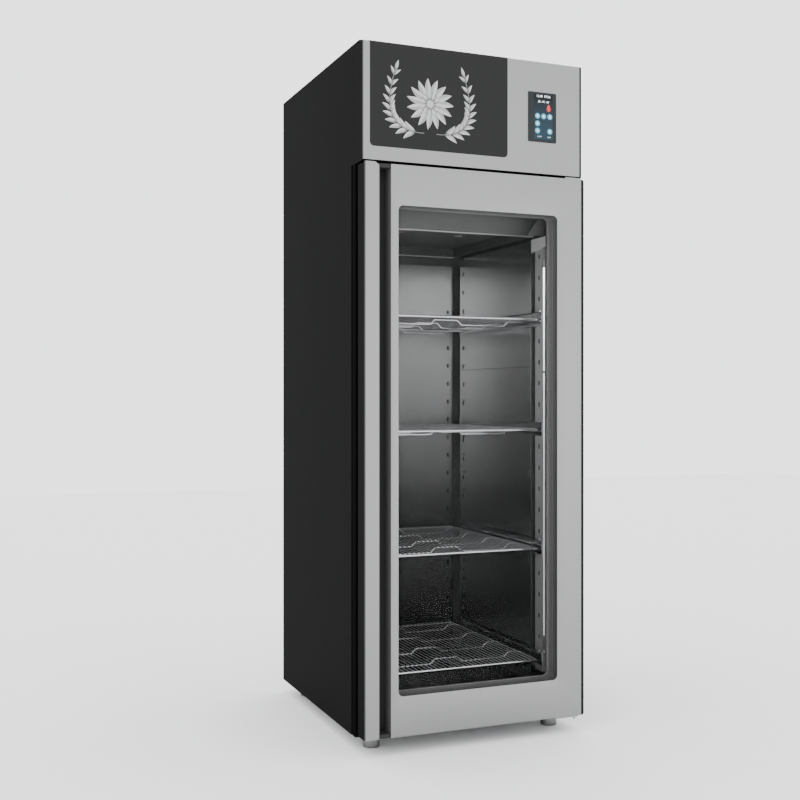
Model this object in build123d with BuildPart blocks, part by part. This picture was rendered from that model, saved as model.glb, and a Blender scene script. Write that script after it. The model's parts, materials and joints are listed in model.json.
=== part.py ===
"""A dry aging cabinet with a glass door, four wire shelves and a cooling unit behind its header.

Millimetres, +Z up, +Y from the door towards the back wall. The origin is on the floor, at the
middle of the cabinet's width and depth.
"""

import os
from math import atan, cos, tan

from build123d import *

os.makedirs("parts", exist_ok=True)

# Whole cabinet
overall_width = 730
overall_depth = 824
body_height = 2042
foot_height = 40
header_height = 355
sheet = 1
heavy_sheet = 1.5
touch_gap = 0.3
run_gap = 0.05
overrun = 2

# Foam walls round the cold space
side_wall = 60
rear_wall = 60
floor_wall = 70
ceiling_wall = 67
back_recess = 4

# Door
door_thickness = 54
door_proud = 15
door_gap = 8
door_floor_gap = 11
seal_gap = 23
handle_width = 48.3
recess_width = 34.3
edge_width = 8.8
window_width = 529
window_height = 1431.4
window_radius = 15
window_from_left = 106.4
window_above_door = 117.8
hinge_from_side = 28
hinge_behind_front = 29.7
pin_radius = 6

# Shelves and the racks that carry them
shelf_side_gap = 10
shelf_depth = 650
shelf_heights = (1286.5, 937.5, 562.5, 209.5)
slot_pitch = 67.3
first_slot_height = 210.3
slot_count = 20
duct_gap = 30

# Header front
header_bend = 6
header_slope_run = 28
header_slope_rise = 8
art_width = 448
art_height = 311.5
art_from_left = 22.5
art_corner = 13
display_width = 99
display_height = 154
display_from_right = 90
display_above_header = 100

# Planes that the pieces share
half_width = overall_width / 2
front_y = -overall_depth / 2
back_y = overall_depth / 2
header_y = front_y + door_proud
door_back_y = front_y + door_thickness
frame_y = door_back_y + seal_gap
body_z = foot_height
top_z = foot_height + body_height
header_z = top_z - header_height
door_z = body_z + door_floor_gap
door_top_z = header_z - door_gap
cavity_x = half_width - side_wall
cavity_y = back_y - rear_wall
cavity_floor_z = body_z + floor_wall
cavity_top_z = header_z - ceiling_wall
back_face_y = back_y - back_recess
roof_z = top_z - heavy_sheet
left_x = -half_width
right_x = half_width
window_x = left_x + window_from_left + window_width / 2
window_z = door_z + window_above_door + window_height / 2


def save(piece, name):
    """Label a finished piece and write its STEP file."""
    piece.part.label = name
    export_step(piece.part, f"parts/{name}.step")


def slab(corner, opposite, mode=Mode.ADD):
    """A box between two opposite corners, in the part being built."""
    with Locations(tuple((a + b) / 2 for a, b in zip(corner, opposite))):
        Box(*(abs(b - a) for a, b in zip(corner, opposite)), mode=mode)


def rod(start, direction, radius, length, mode=Mode.ADD):
    """A round bar from a point along a direction, in the part being built."""
    with BuildSketch(Plane(origin=start, z_dir=direction)) as section:
        Circle(radius)
    extrude(section.sketch, amount=length, mode=mode)


def window_ring(y, depth, grow, wall):
    """A ring round the window, its opening grown outwards by one size and its wall by another."""
    outside = grow + wall
    with BuildSketch(Plane(origin=(window_x, y, window_z), x_dir=(1, 0, 0), z_dir=(0, 1, 0))) as ring:
        RectangleRounded(window_width + 2 * outside, window_height + 2 * outside, window_radius + outside)
        RectangleRounded(
            window_width + 2 * grow, window_height + 2 * grow, window_radius + grow, mode=Mode.SUBTRACT
        )
    extrude(ring.sketch, amount=depth)


def window_plate(y, depth, grow, mode=Mode.ADD):
    """A plate, or a cut, of the window's outline grown outwards by one size."""
    with BuildSketch(Plane(origin=(window_x, y, window_z), x_dir=(1, 0, 0), z_dir=(0, 1, 0))) as plate:
        RectangleRounded(window_width + 2 * grow, window_height + 2 * grow, window_radius + grow)
    extrude(plate.sketch, amount=depth, mode=mode)


# Carcass
frame_depth = 35
frame_lip = 19
frame_groove = 4
header_side_depth = 78
seam_gap = 1
carcass_y = frame_y + frame_depth
seam_y = header_y + header_side_depth
skin_x = half_width - sheet
foam_front_y = carcass_y + sheet
foam_back_y = back_face_y - sheet
side_flange = 12
deck_sheet = 2
deck_z = header_z + deck_sheet

with BuildPart() as side_panels:
    for side in (-1, 1):
        slab((side * skin_x, carcass_y, body_z), (side * half_width, back_y, roof_z))
        slab((side * skin_x, seam_y, header_z), (side * half_width, carcass_y, roof_z))
        slab(
            (side * (half_width - side_flange), carcass_y, body_z + sheet),
            (side * half_width, foam_front_y, header_z),
        )
save(side_panels, "side_panels")

screw_radius = 2
screw_head_radius = 4
screw_head = 2
screw_length = 8
back_screw_inset = 14
back_screw_rows = 7
back_screw_pitch = (roof_z - body_z - 2 * back_screw_inset) / (back_screw_rows - 1)
back_screw_spots = [
    (side * (skin_x - back_screw_inset), body_z + back_screw_inset + row * back_screw_pitch)
    for side in (-1, 1)
    for row in range(back_screw_rows)
]


def back_screw_holes():
    """The holes that the back panel's screws go through."""
    hole_depth = screw_length + overrun
    for x, z in back_screw_spots:
        rod((x, back_face_y, z), (0, -1, 0), screw_radius + run_gap, hole_depth, mode=Mode.SUBTRACT)


vent_length = 150
vent_height = 5
vent_pitch_x = 190
vent_pitch_z = 16
vent_columns = 3
vent_rows = 11
vent_z = header_z + header_height / 2
gland_from_side = 75
gland_above_deck = 50
gland_x = half_width - gland_from_side
gland_z = deck_z + gland_above_deck
gland_radius = 11
gland_flange_radius = 15
gland_flange = 3
gland_length = 28
cable_bore_radius = 5.5

with BuildPart() as back_panel:
    slab((-skin_x, foam_back_y, body_z), (skin_x, back_face_y, roof_z))
    with Locations((0, back_face_y, vent_z)):
        with GridLocations(vent_pitch_x, 0, vent_columns, 1):
            for row in range(vent_rows):
                with Locations((0, 0, (row - (vent_rows - 1) / 2) * vent_pitch_z)):
                    Box(vent_length, 2 * overrun, vent_height, mode=Mode.SUBTRACT)
    rod((gland_x, back_face_y, gland_z), (0, -1, 0), gland_radius, 2 * overrun, mode=Mode.SUBTRACT)
    back_screw_holes()
save(back_panel, "back_panel")

with BuildPart() as cable_gland:
    rod((gland_x, back_face_y, gland_z), (0, 1, 0), gland_flange_radius, gland_flange)
    rod((gland_x, back_face_y, gland_z), (0, -1, 0), gland_radius, gland_length - gland_flange)
    bore_start = (gland_x, back_face_y + gland_flange, gland_z)
    rod(bore_start, (0, -1, 0), cable_bore_radius, gland_length, mode=Mode.SUBTRACT)
save(cable_gland, "cable_gland")

# Feet turn on a threaded stem in a socket above the base panel
foot_inset_x = 63
foot_inset_front = 95.8
foot_inset_back = 90
foot_radius = 25.7
foot_edge = 1.5
stem_radius = 6
stem_reach = 27
socket_radius = 12
socket_height = 33
foot_spots = {
    "foot_front_left": (left_x + foot_inset_x, header_y + foot_inset_front),
    "foot_front_right": (right_x - foot_inset_x, header_y + foot_inset_front),
    "foot_rear_left": (left_x + foot_inset_x, back_y - foot_inset_back),
    "foot_rear_right": (right_x - foot_inset_x, back_y - foot_inset_back),
}

with BuildPart() as base_panel:
    slab((-skin_x, frame_y, body_z), (skin_x, foam_back_y, body_z + sheet))
    for x, y in foot_spots.values():
        rod((x, y, body_z), (0, 0, 1), socket_radius, socket_height)
    for x, y in foot_spots.values():
        rod((x, y, body_z), (0, 0, 1), stem_radius + run_gap, stem_reach + overrun, mode=Mode.SUBTRACT)
save(base_panel, "base_panel")

for name, (x, y) in foot_spots.items():
    with BuildPart() as foot:
        rod((x, y, 0), (0, 0, 1), foot_radius, body_z - touch_gap)
        fillet(foot.edges().filter_by(GeomType.CIRCLE), foot_edge)
        rod((x, y, 0), (0, 0, 1), stem_radius, body_z + stem_reach)
    save(foot, name)


def socket_pockets():
    """The pockets that the foot sockets stand in."""
    pocket_depth = socket_height + touch_gap
    for x, y in foot_spots.values():
        rod((x, y, body_z), (0, 0, 1), socket_radius + touch_gap, pocket_depth, mode=Mode.SUBTRACT)


# Refrigerant lines come down through the deck and the ceiling
pipe_radius = 4
pipe_hole_radius = 6
line_setback = 637
line_y = header_y + line_setback
liquid_x = -10
suction_x = 60


def pipe_holes(z, depth):
    """The holes that the two refrigerant lines pass through."""
    for x in (liquid_x, suction_x):
        rod((x, line_y, z), (0, 0, 1), pipe_hole_radius, depth, mode=Mode.SUBTRACT)


# Hinge brackets hold the door's pins below and above it
bracket_sheet = 6
bracket_width = 82
bracket_from_side = 10
top_bracket_from_side = 1
top_bracket_width = 55
bracket_under_door = 3
bracket_right_x = half_width - bracket_from_side
bracket_left_x = bracket_right_x - bracket_width
bracket_top_right_x = half_width - top_bracket_from_side
bracket_top_left_x = bracket_top_right_x - top_bracket_width
bracket_front = 2
bracket_flange = 5
bracket_flange_height = 26
bracket_z = door_z - bracket_under_door
bracket_top_z = header_z - touch_gap
hinge_x = half_width - hinge_from_side
hinge_y = front_y + hinge_behind_front
hinge_screw_shares = (0.25, 0.75)
hinge_screw_low_z = bracket_z + bracket_flange_height / 2
hinge_screw_high_z = bracket_top_z - bracket_sheet - bracket_flange_height / 2
hinge_screw_spots = [
    (bracket_left_x + share * bracket_width, z)
    for z in (hinge_screw_low_z, hinge_screw_high_z)
    for share in hinge_screw_shares
]
hinge_screw_length = 18
stop_screw_from_side = 18
stop_screw_behind_header = 9
stop_screw_head_radius = 5.5
stop_screw_head = 8
stop_screw_x = half_width - stop_screw_from_side
stop_screw_y = header_y + stop_screw_behind_header


def hinge_screw_holes(y, depth):
    """The holes that the hinge brackets' screws go through."""
    for x, z in hinge_screw_spots:
        rod((x, y, z), (0, 1, 0), screw_radius + run_gap, depth, mode=Mode.SUBTRACT)


with BuildPart() as insulation_slabs:
    inner_x = cavity_x + sheet
    inner_low = cavity_floor_z - sheet
    inner_high = cavity_top_z + sheet
    slab((-skin_x, foam_front_y, body_z + sheet), (skin_x, foam_back_y, inner_low))
    slab((-skin_x, foam_front_y, inner_high), (skin_x, foam_back_y, header_z))
    for side in (-1, 1):
        slab(
            (side * inner_x, foam_front_y, inner_low + touch_gap),
            (side * skin_x, foam_back_y, inner_high - touch_gap),
        )
    slab(
        (touch_gap - inner_x, cavity_y + sheet, inner_low + touch_gap),
        (inner_x - touch_gap, foam_back_y, inner_high - touch_gap),
    )
    socket_pockets()
    pipe_holes(cavity_top_z, ceiling_wall)
    back_screw_holes()
save(insulation_slabs, "insulation_slabs")

with BuildPart() as inner_liner:
    slab(
        (-cavity_x - sheet, carcass_y, cavity_floor_z - sheet),
        (cavity_x + sheet, cavity_y + sheet, cavity_top_z + sheet),
    )
    slab(
        (-cavity_x, carcass_y - overrun, cavity_floor_z),
        (cavity_x, cavity_y, cavity_top_z),
        mode=Mode.SUBTRACT,
    )
    pipe_holes(cavity_top_z - overrun, 2 * overrun)
save(inner_liner, "inner_liner")

with BuildPart() as front_frame:
    slab((left_x, frame_y, body_z + sheet), (right_x, frame_y + frame_lip, header_z))
    slab(
        (left_x + frame_groove, frame_y + frame_lip, body_z + sheet),
        (right_x - frame_groove, carcass_y, header_z),
    )
    slab(
        (-cavity_x, frame_y - overrun, cavity_floor_z), (cavity_x, carcass_y + overrun, cavity_top_z),
        mode=Mode.SUBTRACT,
    )
    socket_pockets()
    hinge_screw_holes(frame_y - overrun, hinge_screw_length + overrun)
save(front_frame, "front_frame")

deck_front = 4
with BuildPart() as machine_deck:
    slab((-skin_x, header_y + deck_front, header_z), (skin_x, foam_back_y, deck_z))
    pipe_holes(header_z - overrun, deck_sheet + 2 * overrun)
save(machine_deck, "machine_deck")

# Header: its front lifts on a long pin along the roof's front edge
header_pin_radius = 2
header_knuckle_radius = 4
knuckle_thickness = 3
knuckle_reach = 12
knuckle_gap = 1
knuckle_from_side = 30
inner_knuckle_from_side = 250
ear_offset = 6
header_pin_from_side = 20
header_lift = 3.2
header_pin_setback = 36
roof_setback = 5
header_pin_y = header_y + header_pin_setback
header_pin_z = top_z - header_knuckle_radius
header_face_z = header_z + header_lift
roof_y = header_pin_y + roof_setback
lug_insets = (knuckle_from_side, inner_knuckle_from_side)
ear_insets = (knuckle_from_side + ear_offset, inner_knuckle_from_side - ear_offset)
lug_spots = [side * (half_width - inset) for side in (-1, 1) for inset in lug_insets]
ear_spots = [side * (half_width - inset) for side in (-1, 1) for inset in ear_insets]


def header_section(inset, low_z, end_y, mode=Mode.ADD):
    """The side outline of the space behind the header's face, which bends back and slopes up to the roof."""
    slope = header_slope_rise / header_slope_run
    lean = atan(slope)
    face_y = header_y + inset
    shoulder_z = top_z - inset / cos(lean) - (header_slope_run - inset) * slope
    knee_y = header_y + header_slope_run + inset * tan(lean / 2)
    with BuildLine() as outline:
        bottom = Line((end_y, low_z), (face_y, low_z))
        upper = FilletPolyline(
            bottom @ 1,
            (face_y, shoulder_z),
            (knee_y, top_z - inset),
            (end_y, top_z - inset),
            radius=header_bend - inset,
        )
        Line(upper @ 1, bottom @ 0)
    make_face(outline.line, mode=mode)


def header_wall(x, width, outside, inside, low_z, end_y):
    """A sheet that follows the header's face and sloping top between two insets."""
    with BuildSketch(Plane.YZ.offset(x)) as wall:
        header_section(outside, low_z, end_y)
        header_section(inside, low_z - overrun, end_y + overrun, mode=Mode.SUBTRACT)
    extrude(wall.sketch, amount=width)


def knuckle(x, direction):
    """A plate with an eye round the header's pin, reaching forwards or backwards to its sheet."""
    with BuildSketch(Plane.YZ.offset(x - knuckle_thickness / 2)) as eye:
        with Locations((header_pin_y, header_pin_z)):
            Circle(header_knuckle_radius)
        arm_height = roof_z - header_pin_z + header_knuckle_radius
        with Locations((header_pin_y + direction * knuckle_reach / 2, roof_z - arm_height / 2)):
            Rectangle(knuckle_reach, arm_height)
        with Locations((header_pin_y, header_pin_z)):
            Circle(header_pin_radius + run_gap, mode=Mode.SUBTRACT)
    extrude(eye.sketch, amount=knuckle_thickness)


lid_height = 8
lid_setback = 6
lid_depth = 420
lid_widths = (440, 147)
lid_left_shares = (0.1, 0.733)

with BuildPart() as roof_panel:
    slab((left_x, roof_y, roof_z), (right_x, back_y, top_z))
    for width, share in zip(lid_widths, lid_left_shares):
        lid_x = left_x + share * overall_width
        slab(
            (lid_x, roof_y + lid_setback, roof_z),
            (lid_x + width, roof_y + lid_setback + lid_depth, top_z + lid_height),
        )
        slab(
            (lid_x + heavy_sheet, roof_y + lid_setback + heavy_sheet, roof_z - overrun),
            (
                lid_x + width - heavy_sheet,
                roof_y + lid_setback + lid_depth - heavy_sheet,
                top_z + lid_height - heavy_sheet,
            ),
            mode=Mode.SUBTRACT,
        )
    for x in lug_spots:
        knuckle(x, 1)
save(roof_panel, "roof_panel")

with BuildPart() as header_hinge_pin:
    rod(
        (left_x + header_pin_from_side, header_pin_y, header_pin_z),
        (1, 0, 0),
        header_pin_radius,
        overall_width - 2 * header_pin_from_side,
    )
save(header_hinge_pin, "header_hinge_pin")

pin_notch_gap = 0.8
with BuildPart() as header_sides:
    for side in (-1, 1):
        with BuildSketch(Plane.YZ.offset(min(side * skin_x, side * half_width))):
            header_section(heavy_sheet + touch_gap, header_z, seam_y - seam_gap)
            with Locations((header_pin_y, header_pin_z)):
                Circle(header_knuckle_radius + pin_notch_gap, mode=Mode.SUBTRACT)
        extrude(amount=sheet)
save(header_sides, "header_sides")

header_edge = 6.7
header_edge_round = 0.6
display_x = right_x - display_from_right - display_width / 2
display_z = header_z + display_above_header + display_height / 2
display_proud = 1.2
display_depth = 26
display_radius = 4
display_glass_sheet = 1.2
display_rim = 1


def display_plane(y, direction):
    """The plane of the display at a depth, facing into the cabinet or out of it."""
    return Plane(origin=(display_x, y, display_z), x_dir=(1, 0, 0), z_dir=(0, direction, 0))


with BuildPart() as header_panel:
    header_wall(left_x, overall_width - header_edge, 0, heavy_sheet, header_face_z, header_pin_y)
    for x in ear_spots:
        knuckle(x, -1)
    for x in lug_spots:
        notch = knuckle_thickness / 2 + knuckle_gap
        slab(
            (x - notch, header_pin_y - header_knuckle_radius - knuckle_gap, roof_z - overrun),
            (x + notch, header_pin_y + overrun, top_z + overrun),
            mode=Mode.SUBTRACT,
        )
    with BuildSketch(display_plane(header_y - overrun, 1)):
        RectangleRounded(display_width, display_height, display_radius)
    extrude(amount=heavy_sheet + 2 * overrun, mode=Mode.SUBTRACT)
save(header_panel, "header_panel")

with BuildPart() as header_edge_trim:
    header_wall(right_x - header_edge, header_edge, 0, heavy_sheet, header_face_z, header_pin_y)
    front_edges = header_edge_trim.edges().filter_by(Axis.Z).group_by(Axis.Y)[0]
    fillet(front_edges.sort_by(Axis.X)[-1], header_edge_round)
save(header_edge_trim, "header_edge_trim")

art_sheet = 1
art_x = left_x + art_from_left
with BuildPart() as art_panel:
    art_end_y = header_pin_y - header_knuckle_radius
    header_wall(art_x, art_width, -art_sheet - run_gap, -run_gap, top_z - art_height, art_end_y)
    fillet(art_panel.edges().filter_by(Axis.Y).group_by(Axis.Z)[0], art_corner)
save(art_panel, "art_panel")

with BuildPart() as display_housing:
    with BuildSketch(display_plane(header_y - display_proud, 1)):
        RectangleRounded(
            display_width - 2 * touch_gap, display_height - 2 * touch_gap, display_radius - touch_gap
        )
    extrude(amount=display_depth)
save(display_housing, "display_housing")

with BuildPart() as display_glass:
    with BuildSketch(display_plane(header_y - display_proud, -1)):
        RectangleRounded(
            display_width - 2 * display_rim, display_height - 2 * display_rim, display_radius - display_rim
        )
    extrude(amount=display_glass_sheet)
save(display_glass, "display_glass")

# Door
door_skin = heavy_sheet
door_skin_y = front_y + door_skin
door_sheet_y = door_back_y - door_skin
handle_x = left_x + handle_width
panel_x = handle_x + recess_width
door_edge_x = right_x - edge_width
reveal_wall = 3
handle_sheet = 3
handle_rise = 3.5
handle_return = 22
handle_chamfer = 14
handle_chamfer_drop = 10.5
end_cap = 12
glass_sheet = 4
glass_space = 8
glass_overlap = 12
glass_y = door_back_y
inner_frame_wall = 14
inner_frame_lip = 3
gasket_width = 25
gasket_from_side = 30
gasket_from_ends = 29
gasket_edge = 3
bush_radius = 10
bush_flange_radius = 14
bush_flange = 2.5
bush_length = 30
pin_in_door = 26
pin_end_gap = 2
door_ends = ((door_z, 1), (door_top_z, -1))

with BuildPart() as door_front_skin:
    slab((panel_x, front_y, door_z), (door_edge_x, door_skin_y, door_top_z))
    window_plate(front_y - overrun, door_skin + 2 * overrun, 0, mode=Mode.SUBTRACT)
save(door_front_skin, "door_front_skin")

hole_left_x = window_x - window_width / 2 - reveal_wall
hole_right_x = window_x + window_width / 2 + reveal_wall
hole_low_z = window_z - window_height / 2 - reveal_wall
hole_high_z = window_z + window_height / 2 + reveal_wall
with BuildPart() as door_frame:
    slab((panel_x, door_skin_y, door_z), (hole_left_x, door_sheet_y, door_top_z))
    slab((hole_right_x, door_skin_y, door_z), (door_edge_x, door_sheet_y, door_top_z))
    for low_z, high_z in ((door_z, hole_low_z), (hole_high_z, door_top_z)):
        slab((hole_left_x + touch_gap, door_skin_y, low_z), (hole_right_x - touch_gap, door_sheet_y, high_z))
    for z, direction in door_ends:
        rod((hinge_x, hinge_y, z), (0, 0, direction), bush_radius, bush_length, mode=Mode.SUBTRACT)
save(door_frame, "door_frame")

with BuildPart() as hinge_bushes:
    for z, direction in door_ends:
        rod((hinge_x, hinge_y, z), (0, 0, direction), bush_radius, bush_length)
    rod((hinge_x, hinge_y, door_z), (0, 0, -1), bush_flange_radius, bush_flange)
    for z, direction in ((door_z - bush_flange, 1), (door_top_z, -1)):
        bore = pin_in_door + bush_flange
        rod((hinge_x, hinge_y, z), (0, 0, direction), pin_radius + run_gap, bore, mode=Mode.SUBTRACT)
save(hinge_bushes, "hinge_bushes")

with BuildPart() as window_reveal:
    window_ring(door_skin_y, door_sheet_y - door_skin_y, 0, reveal_wall)
save(window_reveal, "window_reveal")

with BuildPart() as door_rear_panel:
    slab((panel_x, door_sheet_y, door_z), (door_edge_x, door_back_y, door_top_z))
    window_plate(door_sheet_y - overrun, door_skin + 2 * overrun, 0, mode=Mode.SUBTRACT)
save(door_rear_panel, "door_rear_panel")

with BuildPart() as glass_panes:
    for y in (glass_y, glass_y + glass_sheet + glass_space):
        window_plate(y, glass_sheet, glass_overlap)
save(glass_panes, "glass_panes")

with BuildPart() as glass_spacer:
    window_ring(glass_y + glass_sheet, glass_space, 0, glass_overlap - touch_gap)
save(glass_spacer, "glass_spacer")

glass_back_y = glass_y + 2 * glass_sheet + glass_space
with BuildPart() as door_inner_frame:
    window_ring(glass_y, glass_back_y - glass_y + touch_gap, glass_overlap + touch_gap, inner_frame_wall)
    window_ring(glass_back_y + touch_gap, inner_frame_lip, 0, inner_frame_wall + glass_overlap + touch_gap)
save(door_inner_frame, "door_inner_frame")

gasket_right_x = right_x - gasket_from_side
gasket_left_x = left_x + gasket_from_side
gasket_low_z = door_z + gasket_from_ends
gasket_high_z = door_top_z - gasket_from_ends
with BuildPart() as door_gasket:
    slab((gasket_left_x, door_back_y, gasket_low_z), (gasket_right_x, frame_y - touch_gap, gasket_high_z))
    slab(
        (gasket_left_x + gasket_width, door_back_y - overrun, gasket_low_z + gasket_width),
        (gasket_right_x - gasket_width, frame_y + overrun, gasket_high_z - gasket_width),
        mode=Mode.SUBTRACT,
    )
    fillet(door_gasket.edges().group_by(Axis.Y)[-1], gasket_edge)
save(door_gasket, "door_gasket")

with BuildPart() as handle_strip:
    slab((left_x, front_y, door_z), (handle_x, front_y + handle_sheet, door_top_z + handle_rise))
    corner = handle_strip.edges().filter_by(Axis.Y).group_by(Axis.Z)[-1].sort_by(Axis.X)[-1]
    chamfer(corner, handle_chamfer_drop, handle_chamfer)
    slab(
        (handle_x - handle_sheet, front_y + handle_sheet, door_z + end_cap + touch_gap),
        (handle_x, front_y + handle_return, door_top_z - end_cap - touch_gap),
    )
save(handle_strip, "handle_strip")

with BuildPart() as handle_channel:
    slab((left_x, front_y + handle_sheet, door_z), (left_x + handle_sheet, door_back_y, door_top_z))
    slab((left_x + handle_sheet, door_back_y - handle_sheet, door_z), (panel_x, door_back_y, door_top_z))
save(handle_channel, "handle_channel")

with BuildPart() as handle_end_caps:
    for z, direction in door_ends:
        slab(
            (left_x + handle_sheet, front_y + handle_sheet, z),
            (panel_x, door_back_y - handle_sheet, z + direction * end_cap),
        )
save(handle_end_caps, "handle_end_caps")

edge_chamfer = 5
edge_round = 0.8
with BuildPart() as door_edge_trim:
    slab((door_edge_x, front_y, door_z), (right_x, door_back_y, door_top_z))
    chamfer(door_edge_trim.edges().filter_by(Axis.Y).group_by(Axis.X)[-1], edge_chamfer)
    outer_front = door_edge_trim.edges().filter_by(Axis.Z).group_by(Axis.Y)[0].sort_by(Axis.X)[-1]
    fillet(outer_front, edge_round)
save(door_edge_trim, "door_edge_trim")

bracket_low_z = bracket_z - bracket_sheet
bracket_high_z = bracket_top_z - bracket_sheet
with BuildPart() as hinge_brackets:
    for z, plate_left_x, plate_right_x, flange_z in (
        (bracket_low_z, bracket_left_x, bracket_right_x, bracket_z + bracket_flange_height),
        (bracket_high_z, bracket_top_left_x, bracket_top_right_x, bracket_high_z - bracket_flange_height),
    ):
        slab((plate_left_x, header_y + bracket_front, z), (plate_right_x, frame_y, z + bracket_sheet))
        slab((bracket_left_x, frame_y - bracket_flange, z), (bracket_right_x, frame_y, flange_z))
        rod((hinge_x, hinge_y, z), (0, 0, 1), pin_radius, bracket_sheet, mode=Mode.SUBTRACT)
    hinge_screw_holes(frame_y - bracket_flange - overrun, bracket_flange + 2 * overrun)
    rod(
        (stop_screw_x, stop_screw_y, bracket_low_z),
        (0, 0, 1),
        screw_radius + run_gap,
        bracket_sheet,
        mode=Mode.SUBTRACT,
    )
save(hinge_brackets, "hinge_brackets")

with BuildPart() as hinge_pins:
    low_length = door_z - bracket_low_z + pin_in_door - pin_end_gap
    high_length = bracket_top_z - door_top_z + pin_in_door - pin_end_gap
    rod((hinge_x, hinge_y, bracket_low_z), (0, 0, 1), pin_radius, low_length)
    rod((hinge_x, hinge_y, bracket_top_z), (0, 0, -1), pin_radius, high_length)
save(hinge_pins, "hinge_pins")

with BuildPart() as fasteners:
    for x, z in hinge_screw_spots:
        rod((x, frame_y - bracket_flange, z), (0, -1, 0), screw_head_radius, screw_head)
        rod((x, frame_y - bracket_flange, z), (0, 1, 0), screw_radius, hinge_screw_length)
    rod((stop_screw_x, stop_screw_y, bracket_low_z), (0, 0, -1), stop_screw_head_radius, stop_screw_head)
    rod((stop_screw_x, stop_screw_y, bracket_low_z), (0, 0, 1), screw_radius, bracket_sheet)
    for x, z in back_screw_spots:
        rod((x, back_face_y, z), (0, 1, 0), screw_head_radius, screw_head)
        rod((x, back_face_y, z), (0, -1, 0), screw_radius, screw_length)
save(fasteners, "fasteners")

# Racks, ducts and shelf guides inside the cold space
rack_x = cavity_x - duct_gap
shelf_width = 2 * (rack_x - shelf_side_gap)
post_setback = 85
post_width = 48
post_floor_gap = 60
post_top_gap = 130
slot_width = 10
slot_height = 14
duct_setback = 160
duct_end_setback = 696
duct_floor_gap = 40
duct_top_gap = 115
rear_slot_setback = 670


def channel(side, setback, width, floor_gap, top_gap):
    """A folded channel whose web faces the shelves and whose flanges reach back to the liner."""
    y = header_y + setback
    low_z = cavity_floor_z + floor_gap
    high_z = cavity_top_z - top_gap
    slab((side * rack_x, y, low_z), (side * (rack_x + heavy_sheet), y + width, high_z))
    for flange_y in (y, y + width - heavy_sheet):
        slab((side * rack_x, flange_y, low_z), (side * cavity_x, flange_y + heavy_sheet, high_z))


def rack_slots(side, y):
    """The column of slots that the shelf guides hook into."""
    steps = [(0, 0, first_slot_height + step * slot_pitch) for step in range(slot_count)]
    with Locations((side * (rack_x + heavy_sheet / 2), y, 0)):
        with Locations(*steps):
            Box(heavy_sheet + 2 * overrun, slot_width, slot_height, mode=Mode.SUBTRACT)


post_slot_y = header_y + post_setback + post_width / 2
rear_slot_y = header_y + rear_slot_setback
with BuildPart() as rack_posts:
    for side in (-1, 1):
        channel(side, post_setback, post_width, post_floor_gap, post_top_gap)
        rack_slots(side, post_slot_y)
save(rack_posts, "rack_posts")

with BuildPart() as duct_panels:
    for side in (-1, 1):
        channel(side, duct_setback, duct_end_setback - duct_setback, duct_floor_gap, duct_top_gap)
        rack_slots(side, rear_slot_y)
save(duct_panels, "duct_panels")

shelf_setback = 82
shelf_y = header_y + shelf_setback
rear_panel_gap = 1.5
rear_panel_y = shelf_y + shelf_depth + rear_panel_gap
rear_panel_side_gap = 10
rear_panel_top_gap = 137
rear_panel_half = rack_x - rear_panel_side_gap
rear_panel_floor_gap = 10
with BuildPart() as rear_duct_panel:
    panel_low_z = cavity_floor_z + rear_panel_floor_gap
    panel_high_z = cavity_top_z - rear_panel_top_gap
    slab(
        (-rear_panel_half, rear_panel_y, panel_low_z),
        (rear_panel_half, rear_panel_y + heavy_sheet, panel_high_z),
    )
    for side in (-1, 1):
        slab(
            (side * rear_panel_half, rear_panel_y, panel_low_z),
            (side * (rear_panel_half - heavy_sheet), cavity_y, panel_high_z),
        )
save(rear_duct_panel, "rear_duct_panel")

border_wire = 3
grid_wire = 1.5
cross_wire = 2.5
wire_bite = 0.5
grid_gaps = 34
guide_clearance = 0.3
guide_ledge = 30
guide_lip = 16
guide_below = 20
guide_above = 26
guide_setback = 88
guide_length = 612
hook_reach = 6
hook_width = 8
hook_height = 12
knob_radius = 4
knob_length = 6


def nearest_slot(z):
    """The height of the slot nearest to a height."""
    return first_slot_height + slot_pitch * round((z - first_slot_height) / slot_pitch)


with BuildPart() as shelf_guides:
    for level in shelf_heights:
        for side in (-1, 1):
            guide_y = header_y + guide_setback
            guide_end_y = guide_y + guide_length
            ledge_z = level - border_wire - guide_clearance
            web_x = side * (rack_x - heavy_sheet)
            lip_z = level + guide_above
            slab((side * rack_x, guide_y, level - guide_below), (web_x, guide_end_y, lip_z))
            slab(
                (side * rack_x, guide_y, ledge_z - heavy_sheet),
                (side * (rack_x - guide_ledge), guide_end_y, ledge_z),
            )
            slab(
                (side * rack_x, guide_y, lip_z - heavy_sheet),
                (side * (rack_x - guide_lip), guide_end_y, lip_z),
            )
            rod((side * (rack_x - guide_lip / 2), guide_y, lip_z), (0, 0, 1), knob_radius, knob_length)
            for hook_y in (post_slot_y, rear_slot_y):
                hook_z = nearest_slot(level)
                slab(
                    (web_x, hook_y - hook_width / 2, hook_z - hook_height / 2),
                    (side * (rack_x + hook_reach), hook_y + hook_width / 2, hook_z + hook_height / 2),
                )
save(shelf_guides, "shelf_guides")

# Wire shelves: a round border, thin wires from front to back, and bent wires across below them
border_bend = 15
cross_drop = 15
cross_bend = 6
grid_rise = border_wire + grid_wire - wire_bite
cross_rise = grid_rise - grid_wire - cross_wire + wire_bite
cross_end = shelf_width / 2 - border_wire
cross_setback_shares = (0.21, 0.45, 0.69, 0.93)
cross_shares = (
    (-1, 0), (-0.85, 0), (-0.78, 1), (-0.21, 1), (-0.15, 0),
    (0.15, 0), (0.21, 1), (0.78, 1), (0.85, 0), (1, 0),
)

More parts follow.
